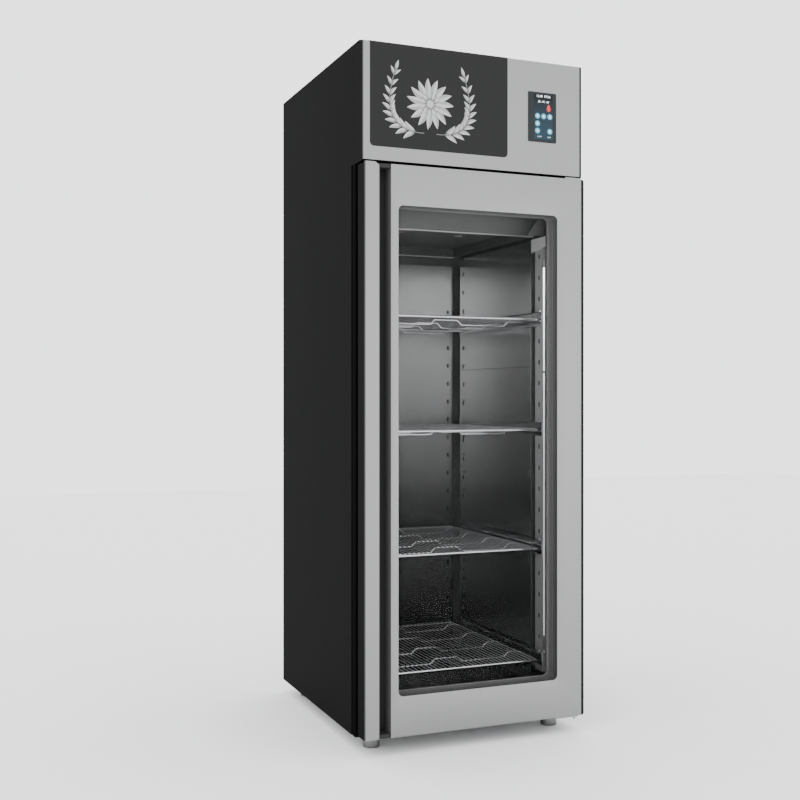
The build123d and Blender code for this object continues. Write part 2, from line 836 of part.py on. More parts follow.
for number, level in enumerate(shelf_heights, 1):
    with BuildPart() as shelf:
        border_x = shelf_width / 2 - border_wire
        border_front = shelf_y + border_wire
        border_back = shelf_y + shelf_depth - border_wire
        with BuildLine():
            FilletPolyline(
                (-border_x, border_front, level),
                (border_x, border_front, level),
                (border_x, border_back, level),
                (-border_x, border_back, level),
                radius=border_bend,
                close=True,
            )
        with BuildSketch(Plane(origin=(0, border_front, level), z_dir=(1, 0, 0))):
            Circle(border_wire)
        sweep()
        for share in cross_setback_shares:
            cross_y = shelf_y + share * shelf_depth
            cross_z = level + cross_rise
            with BuildLine():
                route = [(x * cross_end, cross_y, cross_z - drop * cross_drop) for x, drop in cross_shares]
                FilletPolyline(*route, radius=cross_bend)
            with BuildSketch(Plane(origin=(-cross_end, cross_y, cross_z), z_dir=(1, 0, 0))):
                Circle(cross_wire)
            sweep()
        grid_start = (0, shelf_y + border_wire, level + grid_rise)
        with BuildSketch(Plane(origin=grid_start, x_dir=(1, 0, 0), z_dir=(0, 1, 0))):
            with GridLocations(2 * border_x / grid_gaps, 0, grid_gaps - 1, 1):
                Circle(grid_wire)
        extrude(amount=shelf_depth - 2 * border_wire)
    save(shelf, f"shelf_{number}")


# Light strips stand in front of the racks
led_width = 17
led_depth = 13
led_floor_gap = 120
led_top_gap = 180
diffuser_sheet = 1.5
diffuser_rim = 2
led_y = header_y + post_setback - led_width
led_low_z = cavity_floor_z + led_floor_gap
led_high_z = cavity_top_z - led_top_gap

with BuildPart() as led_profiles:
    for side in (-1, 1):
        slab((side * rack_x, led_y, led_low_z), (side * (rack_x + led_depth), led_y + led_width, led_high_z))
save(led_profiles, "led_profiles")

with BuildPart() as led_diffusers:
    for side in (-1, 1):
        slab(
            (side * rack_x, led_y + diffuser_rim, led_low_z + diffuser_rim),
            (side * (rack_x - diffuser_sheet), led_y + led_width - diffuser_rim, led_high_z - diffuser_rim),
        )
save(led_diffusers, "led_diffusers")

# Evaporator under the ceiling, behind a sloped cover
cover_side_gap = 9
cover_top_setback = 101
cover_setback = 140
cover_drop = 105
cover_lip = 12
cover_recess = 34
cover_back_gap = 1
fan_x = -150
fan_setback = 330
fan_hole = 90
fan_reach = 80
fan_hub = 18
fan_hub_depth = 20
fan_chord = 40
fan_blade_sheet = 1.5
fan_blades = 5
fan_blade_pitch = 28
shaft_radius = 3
guard_sheet = 3
guard_radius = 98
guard_rings = 6
guard_ring_width = 4
guard_hub = 24
guard_spoke = 6
motor_radius = 22
motor_length = 24
shaft_length = 46
cover_half = rack_x - cover_side_gap
cover_y = header_y + cover_setback
cover_back_y = rear_panel_y - cover_back_gap
cover_low_z = cavity_top_z - cover_drop
tray_z = cover_low_z + cover_recess
fan_y = header_y + fan_setback


def cover_wedge(half, inset, low_z, mode=Mode.ADD):
    """The space behind the evaporator cover's sloped face down to a height, or a cut of it."""
    top_y = header_y + cover_top_setback + inset
    slope = (cover_setback - cover_top_setback) / cover_drop
    end_y = cover_back_y - inset
    with BuildSketch(Plane.YZ.offset(-half)) as wedge:
        with BuildLine() as outline:
            Polyline(
                (top_y, cavity_top_z),
                (top_y + slope * (cavity_top_z - low_z), low_z),
                (end_y, low_z),
                (end_y, cavity_top_z),
                close=True,
            )
        make_face(outline.line)
    extrude(wedge.sketch, amount=2 * half, mode=mode)


with BuildPart() as evaporator_cover:
    cover_wedge(cover_half, 0, cover_low_z)
    cover_wedge(cover_half - heavy_sheet, heavy_sheet, tray_z + heavy_sheet, mode=Mode.SUBTRACT)
    slab(
        (heavy_sheet - cover_half, cover_y + cover_lip, cover_low_z - overrun),
        (cover_half - heavy_sheet, cover_back_y - heavy_sheet, tray_z),
        mode=Mode.SUBTRACT,
    )
    rod((fan_x, fan_y, tray_z - overrun), (0, 0, 1), fan_hole, heavy_sheet + 2 * overrun, mode=Mode.SUBTRACT)
    pipe_holes(cavity_top_z - overrun, 2 * overrun)
save(evaporator_cover, "evaporator_cover")

with BuildPart() as evaporator_fan_guard:
    guard_z = tray_z - guard_sheet
    rod((fan_x, fan_y, guard_z), (0, 0, 1), guard_hub, guard_sheet)
    ring_pitch = (guard_radius - guard_hub) / guard_rings
    for ring in range(1, guard_rings + 1):
        with BuildSketch(Plane(origin=(fan_x, fan_y, guard_z))):
            Circle(guard_hub + ring * ring_pitch)
            Circle(guard_hub + ring * ring_pitch - guard_ring_width, mode=Mode.SUBTRACT)
        extrude(amount=guard_sheet)
    for turn in (45, 135):
        with Locations(Location((fan_x, fan_y, guard_z + guard_sheet / 2), (0, 0, turn))):
            Box(2 * guard_radius - guard_ring_width, guard_spoke, guard_sheet)
save(evaporator_fan_guard, "evaporator_fan_guard")

with BuildPart() as evaporator_fan_motor:
    rod((fan_x, fan_y, tray_z), (0, 0, 1), motor_radius, motor_length)
    rod((fan_x, fan_y, tray_z), (0, 0, 1), shaft_radius, shaft_length)
save(evaporator_fan_motor, "evaporator_fan_motor")


def fan_rotor(start, axis, reach, hub, hub_depth, chord):
    """A hub with pitched blades, bored for its shaft, in the part being built."""
    with Locations(Plane(origin=start, z_dir=axis).location):
        with Locations((0, 0, hub_depth / 2)):
            Cylinder(hub, hub_depth)
            root = hub - shaft_radius
            with PolarLocations((root + reach) / 2, fan_blades):
                Box(reach - root, chord, fan_blade_sheet, rotation=(fan_blade_pitch, 0, 0))
            Cylinder(shaft_radius + run_gap, 2 * hub_depth, mode=Mode.SUBTRACT)


with BuildPart() as evaporator_fan:
    hub_z = tray_z + shaft_length - fan_hub_depth
    fan_rotor((fan_x, fan_y, hub_z), (0, 0, 1), fan_reach, fan_hub, fan_hub_depth, fan_chord)
save(evaporator_fan, "evaporator_fan")

coil_side_gap = 26
coil_setback = 475
coil_depth = 230
coil_rows = 4
coil_tube = 6
fin_sheet = 1
fin_pitch = 8
coil_half = cover_half - coil_side_gap
coil_y = header_y + coil_setback
coil_low_z = tray_z + heavy_sheet
coil_top_z = cavity_top_z - 2 * pipe_radius


def fin_pack(low, high, depth_rows):
    """A finned block: thin fins along X, tied by tube rows that run through them."""
    width = high[0] - low[0]
    count = int(width / fin_pitch)
    middle = tuple((a + b) / 2 for a, b in zip(low, high))
    with Locations(middle):
        with GridLocations(width / count, 0, count, 1):
            Box(fin_sheet, high[1] - low[1], high[2] - low[2])
        for row in range(depth_rows):
            row_y = (row - (depth_rows - 1) / 2) * (high[1] - low[1]) / depth_rows
            with Locations((0, row_y, 0)):
                Box(width, coil_tube, coil_tube)


with BuildPart() as evaporator_coil:
    fin_pack((-coil_half, coil_y, coil_low_z), (coil_half, coil_y + coil_depth, coil_top_z), coil_rows)
save(evaporator_coil, "evaporator_coil")

# Cooling unit on the deck, behind the header
compressor_from_side = 155
compressor_before_lines = 70
compressor_radius = 75
compressor_height = 190
compressor_round = 35
compressor_plate = 3
plate_width = 190
mount_inset = 20
mount_radius = 12
mount_height = 14
terminal_width = 50
terminal_depth = 30
compressor_x = right_x - compressor_from_side
compressor_y = line_y - compressor_before_lines
plate_z = deck_z + mount_height
compressor_z = plate_z + compressor_plate - wire_bite

with BuildPart() as compressor:
    rod((compressor_x, compressor_y, compressor_z), (0, 0, 1), compressor_radius, compressor_height)
    fillet(compressor.edges().filter_by(GeomType.CIRCLE), compressor_round)
    with Locations((compressor_x, compressor_y, plate_z + compressor_plate / 2)):
        Box(plate_width, plate_width, compressor_plate)
    with Locations((compressor_x, compressor_y + compressor_radius, compressor_z + compressor_height / 2)):
        Box(terminal_width, terminal_depth, terminal_width)
save(compressor, "compressor")

mount_spread = plate_width - 2 * mount_inset
with BuildPart() as compressor_mounts:
    with Locations((compressor_x, compressor_y, deck_z + mount_height / 2)):
        with GridLocations(mount_spread, mount_spread, 2, 2):
            Cylinder(mount_radius, mount_height)
save(compressor_mounts, "compressor_mounts")

condenser_from_side = 35
condenser_width = 270
condenser_setback = 147
condenser_depth = 50
condenser_height = 230
condenser_lift = 10
condenser_rows = 2
shroud_sheet = 2
shroud_gap = 4
condenser_left_x = left_x + condenser_from_side
condenser_right_x = condenser_left_x + condenser_width
condenser_x = condenser_left_x + condenser_width / 2
condenser_y = header_y + condenser_setback
condenser_low_z = deck_z + condenser_lift
condenser_top_z = condenser_low_z + condenser_height
condenser_z = condenser_low_z + condenser_height / 2

with BuildPart() as condenser_coil:
    fin_pack(
        (condenser_left_x, condenser_y, condenser_low_z),
        (condenser_right_x, condenser_y + condenser_depth, condenser_top_z),
        condenser_rows,
    )
save(condenser_coil, "condenser_coil")

fan_hole_radius = 108
shroud_y = condenser_y + condenser_depth + shroud_gap
shroud_top_z = condenser_top_z + touch_gap + shroud_sheet
with BuildPart() as condenser_shroud:
    slab((condenser_left_x, shroud_y, deck_z), (condenser_right_x, shroud_y + shroud_sheet, shroud_top_z))
    for low_z, high_z in ((deck_z, condenser_low_z - touch_gap), (condenser_top_z + touch_gap, shroud_top_z)):
        slab((condenser_left_x, condenser_y, low_z), (condenser_right_x, shroud_y, high_z))
    hole_start = (condenser_x, shroud_y - overrun, condenser_z)
    rod(hole_start, (0, 1, 0), fan_hole_radius, shroud_sheet + 2 * overrun, mode=Mode.SUBTRACT)
save(condenser_shroud, "condenser_shroud")

condenser_reach = 100
condenser_hub = 22
condenser_hub_depth = 28
condenser_chord = 46
condenser_motor_radius = 34
condenser_motor_length = 56
condenser_shaft = 42
fan_post_width = 40
fan_post_sheet = 6
fan_front_y = shroud_y + shroud_sheet
motor_y = fan_front_y + condenser_shaft
post_y = motor_y + fan_post_sheet

with BuildPart() as condenser_fan_motor:
    rod((condenser_x, motor_y, condenser_z), (0, 1, 0), condenser_motor_radius, condenser_motor_length)
    rod((condenser_x, motor_y, condenser_z), (0, -1, 0), shaft_radius, condenser_shaft - shroud_gap)
    slab(
        (condenser_x - fan_post_width / 2, post_y, deck_z),
        (condenser_x + fan_post_width / 2, post_y + fan_post_sheet, condenser_z),
    )
save(condenser_fan_motor, "condenser_fan_motor")

with BuildPart() as condenser_fan:
    fan_rotor(
        (condenser_x, fan_front_y + shroud_gap, condenser_z),
        (0, 1, 0),
        condenser_reach,
        condenser_hub,
        condenser_hub_depth,
        condenser_chord,
    )
save(condenser_fan, "condenser_fan")

drier_radius = 18
drier_length = 120
drier_round = 8
drier_above_deck = 41
drier_clip = 24
drier_setback = 337
drier_y = header_y + drier_setback
drier_z = deck_z + drier_above_deck
clip_y = drier_y + (drier_length - drier_clip) / 2

with BuildPart() as filter_drier:
    rod((liquid_x, drier_y, drier_z), (0, 1, 0), drier_radius, drier_length)
    fillet(filter_drier.edges().filter_by(GeomType.CIRCLE), drier_round)
    slab(
        (liquid_x - drier_clip / 2, clip_y, deck_z),
        (liquid_x + drier_clip / 2, clip_y + drier_clip, drier_z),
    )
save(filter_drier, "filter_drier")

# Refrigerant lines, each a list of corners in the order that the refrigerant takes
line_bend = 20
discharge_above_deck = 151
suction_above_deck = 71
discharge_from_suction = 20
discharge_x = suction_x - discharge_from_suction
discharge_z = deck_z + discharge_above_deck
suction_z = deck_z + suction_above_deck
shell_port_x = compressor_x - compressor_radius - touch_gap
coil_port_x = condenser_right_x + touch_gap
coil_port_y = condenser_y + condenser_depth / 2
line_end_z = coil_top_z + touch_gap
line_routes = (
    (
        (shell_port_x, compressor_y, discharge_z),
        (discharge_x, compressor_y, discharge_z),
        (discharge_x, coil_port_y, discharge_z),
        (coil_port_x, coil_port_y, discharge_z),
    ),
    (
        (coil_port_x, coil_port_y, drier_z),
        (liquid_x, coil_port_y, drier_z),
        (liquid_x, drier_y - touch_gap, drier_z),
    ),
    (
        (liquid_x, drier_y + drier_length + touch_gap, drier_z),
        (liquid_x, line_y, drier_z),
        (liquid_x, line_y, line_end_z),
    ),
    (
        (suction_x, line_y, line_end_z),
        (suction_x, line_y, suction_z),
        (suction_x, compressor_y, suction_z),
        (shell_port_x, compressor_y, suction_z),
    ),
)

with BuildPart() as refrigerant_pipes:
    for route in line_routes:
        start = Vector(*route[0])
        with BuildLine():
            FilletPolyline(*route, radius=line_bend)
        with BuildSketch(Plane(origin=start, z_dir=Vector(*route[1]) - start)):
            Circle(pipe_radius)
        sweep()
save(refrigerant_pipes, "refrigerant_pipes")

control_from_side = 25
control_width = 190
control_setback = 67
control_depth = 100
control_height = 110
control_round = 6
control_x = right_x - control_from_side
control_y = header_y + control_setback

with BuildPart() as control_box:
    slab(
        (control_x - control_width, control_y, deck_z),
        (control_x, control_y + control_depth, deck_z + control_height),
    )
    fillet(control_box.edges().filter_by(Axis.Z), control_round)
save(control_box, "control_box")
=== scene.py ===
import json
import math

import bmesh
import bpy
import numpy as np
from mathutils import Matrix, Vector

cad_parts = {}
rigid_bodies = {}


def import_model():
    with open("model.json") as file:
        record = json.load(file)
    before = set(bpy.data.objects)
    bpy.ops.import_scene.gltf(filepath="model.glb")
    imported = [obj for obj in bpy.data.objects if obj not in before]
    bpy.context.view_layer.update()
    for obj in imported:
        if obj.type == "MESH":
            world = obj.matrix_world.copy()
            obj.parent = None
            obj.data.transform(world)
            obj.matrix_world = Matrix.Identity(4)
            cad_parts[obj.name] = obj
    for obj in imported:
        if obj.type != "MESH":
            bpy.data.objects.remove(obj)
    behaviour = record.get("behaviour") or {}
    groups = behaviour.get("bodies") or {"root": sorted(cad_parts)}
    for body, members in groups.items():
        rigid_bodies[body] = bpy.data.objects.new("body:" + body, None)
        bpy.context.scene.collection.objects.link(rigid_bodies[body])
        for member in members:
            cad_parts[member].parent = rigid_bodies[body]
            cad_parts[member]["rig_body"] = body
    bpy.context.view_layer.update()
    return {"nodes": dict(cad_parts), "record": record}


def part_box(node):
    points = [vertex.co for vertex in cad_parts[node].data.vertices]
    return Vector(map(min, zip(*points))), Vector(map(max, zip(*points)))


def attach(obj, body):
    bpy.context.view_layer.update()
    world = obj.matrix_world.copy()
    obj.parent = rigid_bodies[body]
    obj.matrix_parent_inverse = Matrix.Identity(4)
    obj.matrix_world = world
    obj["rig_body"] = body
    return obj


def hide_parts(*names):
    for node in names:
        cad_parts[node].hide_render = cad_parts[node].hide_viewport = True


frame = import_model()
nodes = frame["nodes"]
print("frame loaded:", len(nodes), "nodes")


# Shader writing
class Wire:
    # a socket that takes part in sums; each sign adds one Math node
    def __init__(self, paint, socket):
        self.paint = paint
        self.socket = socket

    def sum(self, sign, first, second=0.0):
        return self.paint.node("ShaderNodeMath", {"operation": sign}, {0: first, 1: second})

    def __add__(self, other):
        return self.sum("ADD", self, other)

    def __radd__(self, other):
        return self.sum("ADD", other, self)

    def __sub__(self, other):
        return self.sum("SUBTRACT", self, other)

    def __rsub__(self, other):
        return self.sum("SUBTRACT", other, self)

    def __mul__(self, other):
        return self.sum("MULTIPLY", self, other)

    def __rmul__(self, other):
        return self.sum("MULTIPLY", other, self)

    def __pow__(self, other):
        return self.sum("POWER", self, other)

    def __gt__(self, other):
        return self.sum("GREATER_THAN", self, other)


class Paint:
    # one material; node() adds any node, with its settings first and then the values or wires of its sockets
    def __init__(self, name):
        self.material = bpy.data.materials.new(name)
        self.material.use_nodes = True
        self.tree = self.material.node_tree
        self.tree.nodes.clear()

    def node(self, kind, settings=None, sockets=None, out=0):
        made = self.tree.nodes.new(kind)
        for key, value in (settings or {}).items():
            setattr(made, key, value)
        for key, value in (sockets or {}).items():
            if isinstance(value, Wire):
                self.tree.links.new(value.socket, made.inputs[key])
            else:
                made.inputs[key].default_value = value
        return Wire(self, made.outputs[out]) if len(made.outputs) else None

    def place(self, stretch=(1, 1, 1)):
        # Object coordinates, stretched along each axis
        spot = self.node("ShaderNodeTexCoord", out="Object")
        return self.node("ShaderNodeVectorMath", {"operation": "MULTIPLY"}, {0: spot, 1: stretch})

    def axis(self, letter):
        return self.node("ShaderNodeSeparateXYZ", None, {0: self.place()}, out=letter)

    def mark(self, letter):
        # the piece's own map, for patterns that follow its surface
        spot = self.node("ShaderNodeUVMap", {"uv_map": "surface"})
        return self.node("ShaderNodeSeparateXYZ", None, {0: spot}, out=letter)

    def clipped(self, wire):
        # held between 0 and 1
        below = wire.sum("MINIMUM", wire, 1.0)
        return below.sum("MAXIMUM", below, 0.0)

    def share(self, letter, start, end):
        # 0 at one place on an axis and 1 at another
        return self.clipped((self.axis(letter) - start) * (1 / (end - start)))

    def wave(self, way, pitch):
        # sine of the way, one turn for each pitch
        turn = way * (2 * math.pi / pitch)
        return turn.sum("SINE", turn)

    def noise(self, spot, scale, detail=2.0):
        return self.node("ShaderNodeTexNoise", None, {"Vector": spot, "Scale": scale, "Detail": detail})

    def mixed(self, share, first, second):
        return self.node("ShaderNodeMix", {"data_type": "RGBA"}, {0: share, 6: first, 7: second}, out=2)

    def bump(self, height, strength, distance):
        sockets = {"Height": height, "Strength": strength, "Distance": distance}
        return self.node("ShaderNodeBump", None, sockets)

    def done(self, **sockets):
        names = {key: key.replace("_", " ") for key in sockets}
        shader = self.node("ShaderNodeBsdfPrincipled", None, {names[k]: v for k, v in sockets.items()})
        self.node("ShaderNodeOutputMaterial", None, {"Surface": shader})
        return self.material


def grey(value):
    return (value, value, value, 1.0)


def shade(colour, factor):
    return tuple(c * factor for c in colour[:3]) + (1.0,)


texture = {
    "grain": 420.0, "grainAlong": 5.0, "grainDepth": 0.0002, "handling": 2.6,  # brushed metal
    "peelDepth": 0.0003, "mottle": 3.1,  # powder coat
    "pits": 1500.0, "pitDepth": 0.0002, "streaks": 6.0,  # plastic and rubber
    "castDepth": 0.0002, "dulledMetal": 0.7,  # cast and drawn metal
}


# brushed sheet metal: fine lines along one axis, and soft clouds where hands and cloths have been. A wrapped
# sheet has a dark coat on its edges, outside two places on the X axis. Each shade fade is painted shade: it
# goes from a share of its tone to all of it between two places on an axis.
def brushed(name, colour, rough, along="Z", contrast=0.05, cloudy=0.06, wrap=None, shadeFades=(), metal=1.0):
    p = Paint(name)
    stretch = [texture["grain"]] * 3
    stretch["XYZ".index(along)] = texture["grainAlong"]
    grain = p.noise(p.place(stretch), 1.0, 3.0) - 0.5
    cloud = p.noise(p.place(), texture["handling"], 3.0) - 0.5
    spread = 0.5 + grain * (contrast * 8) + cloud * 0.8
    tone = p.mixed(spread, shade(colour, 1 - contrast), shade(colour, 1 + contrast))
    bare = metal
    if wrap:
        left, right, edge = wrap
        across = p.axis("X")
        bare = (across > left) * (right - across > 0.0)
        tone = p.mixed(bare, grey(edge), tone)
    # painted shade: each fade darkens the tone towards one end of its axis
    for letter, start, end, least in shadeFades:
        tone = p.mixed(p.share(letter, start, end) * (1 - least) + least, grey(0.0), tone)
    return p.done(Base_Color=tone, Metallic=bare, Roughness=rough + grain * 0.10 + cloud * cloudy,
                  Normal=p.bump(grain, 0.10, texture["grainDepth"]))


# powder coat: tiny orange peel and a faint mottle; index is the refractive index, low for a matt coat. A
# split coat has another tone beyond a place on an axis; on some finishes that tone is painted shade or a
# painted highlight.
def coated(name, colour, rough, peel=0.12, grainScale=900.0, index=1.45, split=None):
    p = Paint(name)
    fine = p.noise(p.place(), grainScale, 2.0)
    cloud = p.noise(p.place(), texture["mottle"], 3.0) - 0.5
    tone = p.mixed(0.5 + cloud * 0.9, shade(colour, 0.93), shade(colour, 1.08))
    if split:
        letter, place, other = split
        tone = p.mixed(p.axis(letter) > place, tone, other)
    return p.done(Base_Color=tone, Metallic=0.0, Roughness=rough + cloud * 0.07, IOR=index,
                  Normal=p.bump(fine, peel, texture["peelDepth"]))


# moulded plastic or rubber: fine pitting
def moulded(name, colour, rough, pit=0.2, index=1.45):
    p = Paint(name)
    fine = p.noise(p.place(), texture["pits"], 3.0)
    cloud = p.noise(p.place(), texture["streaks"], 2.0) - 0.5
    tone = p.mixed(0.5 + cloud, shade(colour, 0.88), shade(colour, 1.12))
    return p.done(Base_Color=tone, Roughness=rough + cloud * 0.1, IOR=index,
                  Normal=p.bump(fine, pit, texture["pitDepth"]))


# bare cast or drawn metal with a soft mottle; with a map, a piece is duller and less like a mirror where its
# own map says so
def drawn(name, colour, rough, mottle=0.12, scale=60.0, mapped=None):
    p = Paint(name)
    patch = p.noise(p.place(), scale, 4.0) - 0.5
    tone = p.mixed(0.5 + patch * 1.2, shade(colour, 1 - mottle), shade(colour, 1 + mottle))
    metal = 1.0
    if mapped:
        dulled = p.mark("X")
        tone = p.mixed(dulled, tone, shade(colour, mapped))
        metal = 1.0 - dulled * texture["dulledMetal"]
    return p.done(Base_Color=tone, Metallic=metal, Roughness=rough + patch * 0.12,
                  Normal=p.bump(patch, 0.06, texture["castDepth"]))


# clear pane: nearly all passes through it, more is mirrored towards its edges
def clearPane(name):
    p = Paint(name)
    rim = p.node("ShaderNodeLayerWeight", None, {"Blend": 0.35}, out="Facing")
    smear = p.noise(p.place((3.0, 3.0, 1.2)), 2.0, 3.0)
    return p.done(Base_Color=(0.010, 0.014, 0.013, 1.0), Roughness=0.02 + smear * 0.03,
                  Alpha=0.03 + (rim ** 3.0) * 0.4)


# opal strip: lit from behind by a row of lamps that grow brighter between two heights
def litStrip(name, pitch, strength, low, high, least):
    p = Paint(name)
    lamps = 0.5 + p.wave(p.axis("Z"), pitch) * 0.5
    glow = p.mixed(lamps, (0.93, 0.95, 1.0, 1.0), (1.0, 1.0, 1.0, 1.0))
    glow = p.mixed((p.share("Z", low, high) ** 5.0) * (1 - least) + least, grey(0.0), glow)
    return p.done(Base_Color=glow, Roughness=0.4, Emission_Color=glow, Emission_Strength=strength)


# print on the art panel: each leaf has one half in shade, fine hatching and a dark root. The piece's own map
# gives the way along a leaf and across it, in metres.
def engraved(name, ground, ink, pitch=0.0016):
    p = Paint(name)
    along, across = p.mark("X"), p.mark("Y")
    wide = across.sum("ABSOLUTE", across)
    hatch = 0.5 + p.wave(along * 0.7 + wide, pitch) * 0.5
    root = p.clipped(1.0 - along * 70.0)
    ridge = p.clipped(0.92 - (across > 0.0) * 0.32 - root * 0.55 - hatch * 0.22)
    return p.done(Base_Color=p.mixed(ridge, ground, ink), Roughness=0.5, IOR=1.2)


# a lit area of the display: faint rows of dots, and black above the second of two heights
def screenLit(name, colour, strength, low=None, high=None, pitch=0.0006):
    p = Paint(name)
    dots = 0.5 + p.wave(p.axis("Z"), pitch) * 0.5
    tone = p.mixed(dots, shade(colour, 0.92), colour)
    if high:
        tone = p.mixed(p.share("Z", high, low) ** 0.6, grey(0.008), tone)
    return p.done(Base_Color=tone, Roughness=0.35, IOR=1.2, Emission_Color=tone, Emission_Strength=strength)


satin = {"colour": grey(0.245), "rough": 0.42, "contrast": 0.02, "cloudy": 0.03}
steelGlass = (0.22, 0.22, 0.205, 1)
finishes = {
    "satin_steel": brushed("satinSteel", **satin),
    "headerSteel": brushed("headerSteel", wrap=(-0.3626, 1.0, 0.004), **satin),
    "stripSteel": brushed("stripSteel", wrap=(-0.3615, -0.3197, 0.004), **satin),
    # painted shade: the reveal is darker towards the door's front and towards the bottom
    "reveal": brushed("revealSteel", grey(0.125), 0.45, contrast=0.04, metal=0.1,
                      shadeFades=(("Y", -0.420, -0.366, 0.25), ("Z", 0.20, 1.60, 0.66))),
    "liner": brushed("linerSteel", grey(0.12), 0.22, contrast=0.10, metal=0.55),
    # painted shade: the duct panels, guides, rear duct, fan guard, hems, knob and racks grow darker towards
    # the floor
    "inner": brushed("innerSteel", grey(0.60), 0.16, contrast=0.06, shadeFades=(("Z", 0.2, 1.5, 0.60),)),
    "innerRear": brushed("rearSteel", grey(0.31), 0.22, contrast=0.06, shadeFades=(("Z", 0.65, 1.35, 0.10),)),
    "innerBright": brushed("innerEdge", grey(0.60), 0.30, contrast=0.06, shadeFades=(("Z", 0.1, 1.3, 0.55),)),
    "rack": brushed("rackSteel", grey(0.45), 0.32, contrast=0.06, metal=0.35,
                    shadeFades=(("Z", 0.1, 1.3, 0.55),)),
    # painted light: a pale, nearly bare tone on the corner plates stands for the lit wall above the racks
    "cheek": brushed("cheekPaintedLight", grey(0.58), 0.40, metal=0.05),
    # painted shade: the cover grows darker towards its right end
    "cover": brushed("coverSteel", grey(0.076), 0.50, along="X", metal=0.3,
                     shadeFades=(("X", 0.40, 0.10, 0.7),)),
    "footSteel": brushed("footSteel", grey(0.17), 0.38, contrast=0.03),
    "polished_steel": brushed("polishedSteel", grey(0.30), 0.24, contrast=0.06),
    "spacer_aluminium": brushed("spacerAluminium", steelGlass, 0.40, metal=0.1),
    "dark_steel": coated("darkCoat", grey(0.0068), 0.55, index=1.035),
    # painted light and shade: past the split, the handle's channel and its end caps take a grey lifted above
    # the dark coat, set for the recess's shading; the narrow band at the outer edge keeps the near-black base
    "channelCoat": coated("channelCoat", grey(0.0040), 0.60, index=1.055, split=("X", -0.3635, grey(0.030))),
    # painted shade: the machine deck is near black at its front, where the gap under the header is in shade;
    # behind the split it has its zinc tone
    "deckZincAndShade": coated("deckZincAndShade", grey(0.0020), 0.60, index=1.02,
                       split=("Y", -0.30, (0.24, 0.245, 0.25, 1))),
    # painted highlight: the roof's lids are light grey above the header's top edge, for their lit front edge
    "roofCoat": coated("roofCoat", grey(0.0068), 0.55, index=1.035, split=("Z", 2.0822, grey(0.16))),
    # painted shade: the front frame is near black, standing in for its shaded lip
    "frameCoat": coated("frameCoat", grey(0.0030), 0.70, index=1.03),
    # painted light: the door frame's sides take a copy of the dark coat lifted to grey, for light reaching
    # the recess
    "blockPaintedLight": coated("blockPaintedLight", grey(0.085), 0.60, index=1.10),
    # painted sheen: the edge trims take a lighter copy of the dark coat, for the sheen the side panels catch
    "trimCoat": coated("trimCoat", grey(0.012), 0.60, peel=0.0, index=1.10),
    "profileCoat": coated("profileCoat", grey(0.10), 0.45, index=1.2),
    # painted highlight: the art panel's dark print ground is light grey above its top bend, for the bend's
    # reflection
    "art_print": coated("artGroundAndHighlight", grey(0.020), 0.50, peel=0.0, index=1.10,
                        split=("Z", 2.0800, grey(0.13))),
    "black_enamel": coated("blackEnamel", grey(0.012), 0.25, peel=0.05, grainScale=300.0),
    "capWhite": moulded("capWhite", grey(0.42), 0.5),
    "door_rubber": moulded("sealRubber", grey(0.018), 0.62),
    "black_plastic": moulded("blackPlastic", grey(0.022), 0.48),
    "display_face": moulded("displayFace", (0.018, 0.021, 0.022, 1), 0.20, pit=0.0, index=1.20),
    "wall_foam": moulded("wallFoam", (0.62, 0.50, 0.26, 1), 0.9, pit=0.5),
    "galvanised_sheet": drawn("zincSheet", (0.26, 0.265, 0.27, 1), 0.45, scale=45.0),
    "chromed_wire": drawn("chromedWire", (0.72, 0.72, 0.74, 1), 0.12, mottle=0.05, mapped=0.45),
    "pin_steel": drawn("groundPin", (0.55, 0.55, 0.57, 1), 0.30, mottle=0.08),
    "fin_aluminium": drawn("finAluminium", (0.66, 0.67, 0.69, 1), 0.34, mottle=0.08),
    "copper_tube": drawn("copperTube", (0.74, 0.37, 0.22, 1), 0.28, mottle=0.15),
    "clear_glass": clearPane("clearPane"),
    "light_diffuser": litStrip("litStrip", 0.0167, 5.0, 0.2, 1.45, 0.12),
    "engraving": engraved("engraving", grey(0.03), grey(0.50)),
    "screen": screenLit("screenGround", (0.016, 0.034, 0.047, 1), 0.22, 1.868, 1.962),
    "screenButton": screenLit("screenButton", (0.09, 0.30, 0.42, 1), 0.40),
    "screenMark": screenLit("screenMark", (0.80, 0.92, 0.95, 1), 0.90),
    "screenAlert": screenLit("screenAlert", (0.50, 0.05, 0.045, 1), 0.40),
}
slotOf = {row["node"]: row["material_slot"] for row in frame["record"]["subparts"]}
# the door frame's finish paints light, the machine deck's paints shade and the inner fades paint shade
dressAs = {
    "door_frame": "blockPaintedLight", "inner_liner": "liner", "machine_deck": "deckZincAndShade",
    "evaporator_fan_guard": "innerBright",
}
for name, part in nodes.items():
    part.data.materials.clear()
    part.data.materials.append(finishes[dressAs.get(name, slotOf[name])])
print("finishes mixed:", len(finishes))


# The photograph's camera and a soft studio
studio = {
    "eye": (-1.5007, -3.4551, 1.0435), "turn": -22.27, "lens": 50.82, "lift": -0.0045,
    "sky": 2.6, "skyTone": (0.98, 0.99, 1.0, 1.0), "floorHalf": 9.0, "floorDrop": 0.0005,
    "boxes": {  # place, aim, width, height and power
        "keyBox": ((2.6, -4.2, 1.0), (0, -0.4, 0.5), 2.4, 1.8, 18.0),
        "fillBox": ((-3.6, -2.4, 1.0), (0, 0, 0.7), 2.0, 1.8, 12.0),
    },
}
camera = bpy.data.objects.new("camera", bpy.data.cameras.new("camera"))
camera.location = studio["eye"]
camera.rotation_euler = (math.radians(90), 0, math.radians(studio["turn"]))
camera.data.lens = studio["lens"]
camera.data.shift_y = studio["lift"]
bpy.context.scene.collection.objects.link(camera)
bpy.context.scene.camera = camera

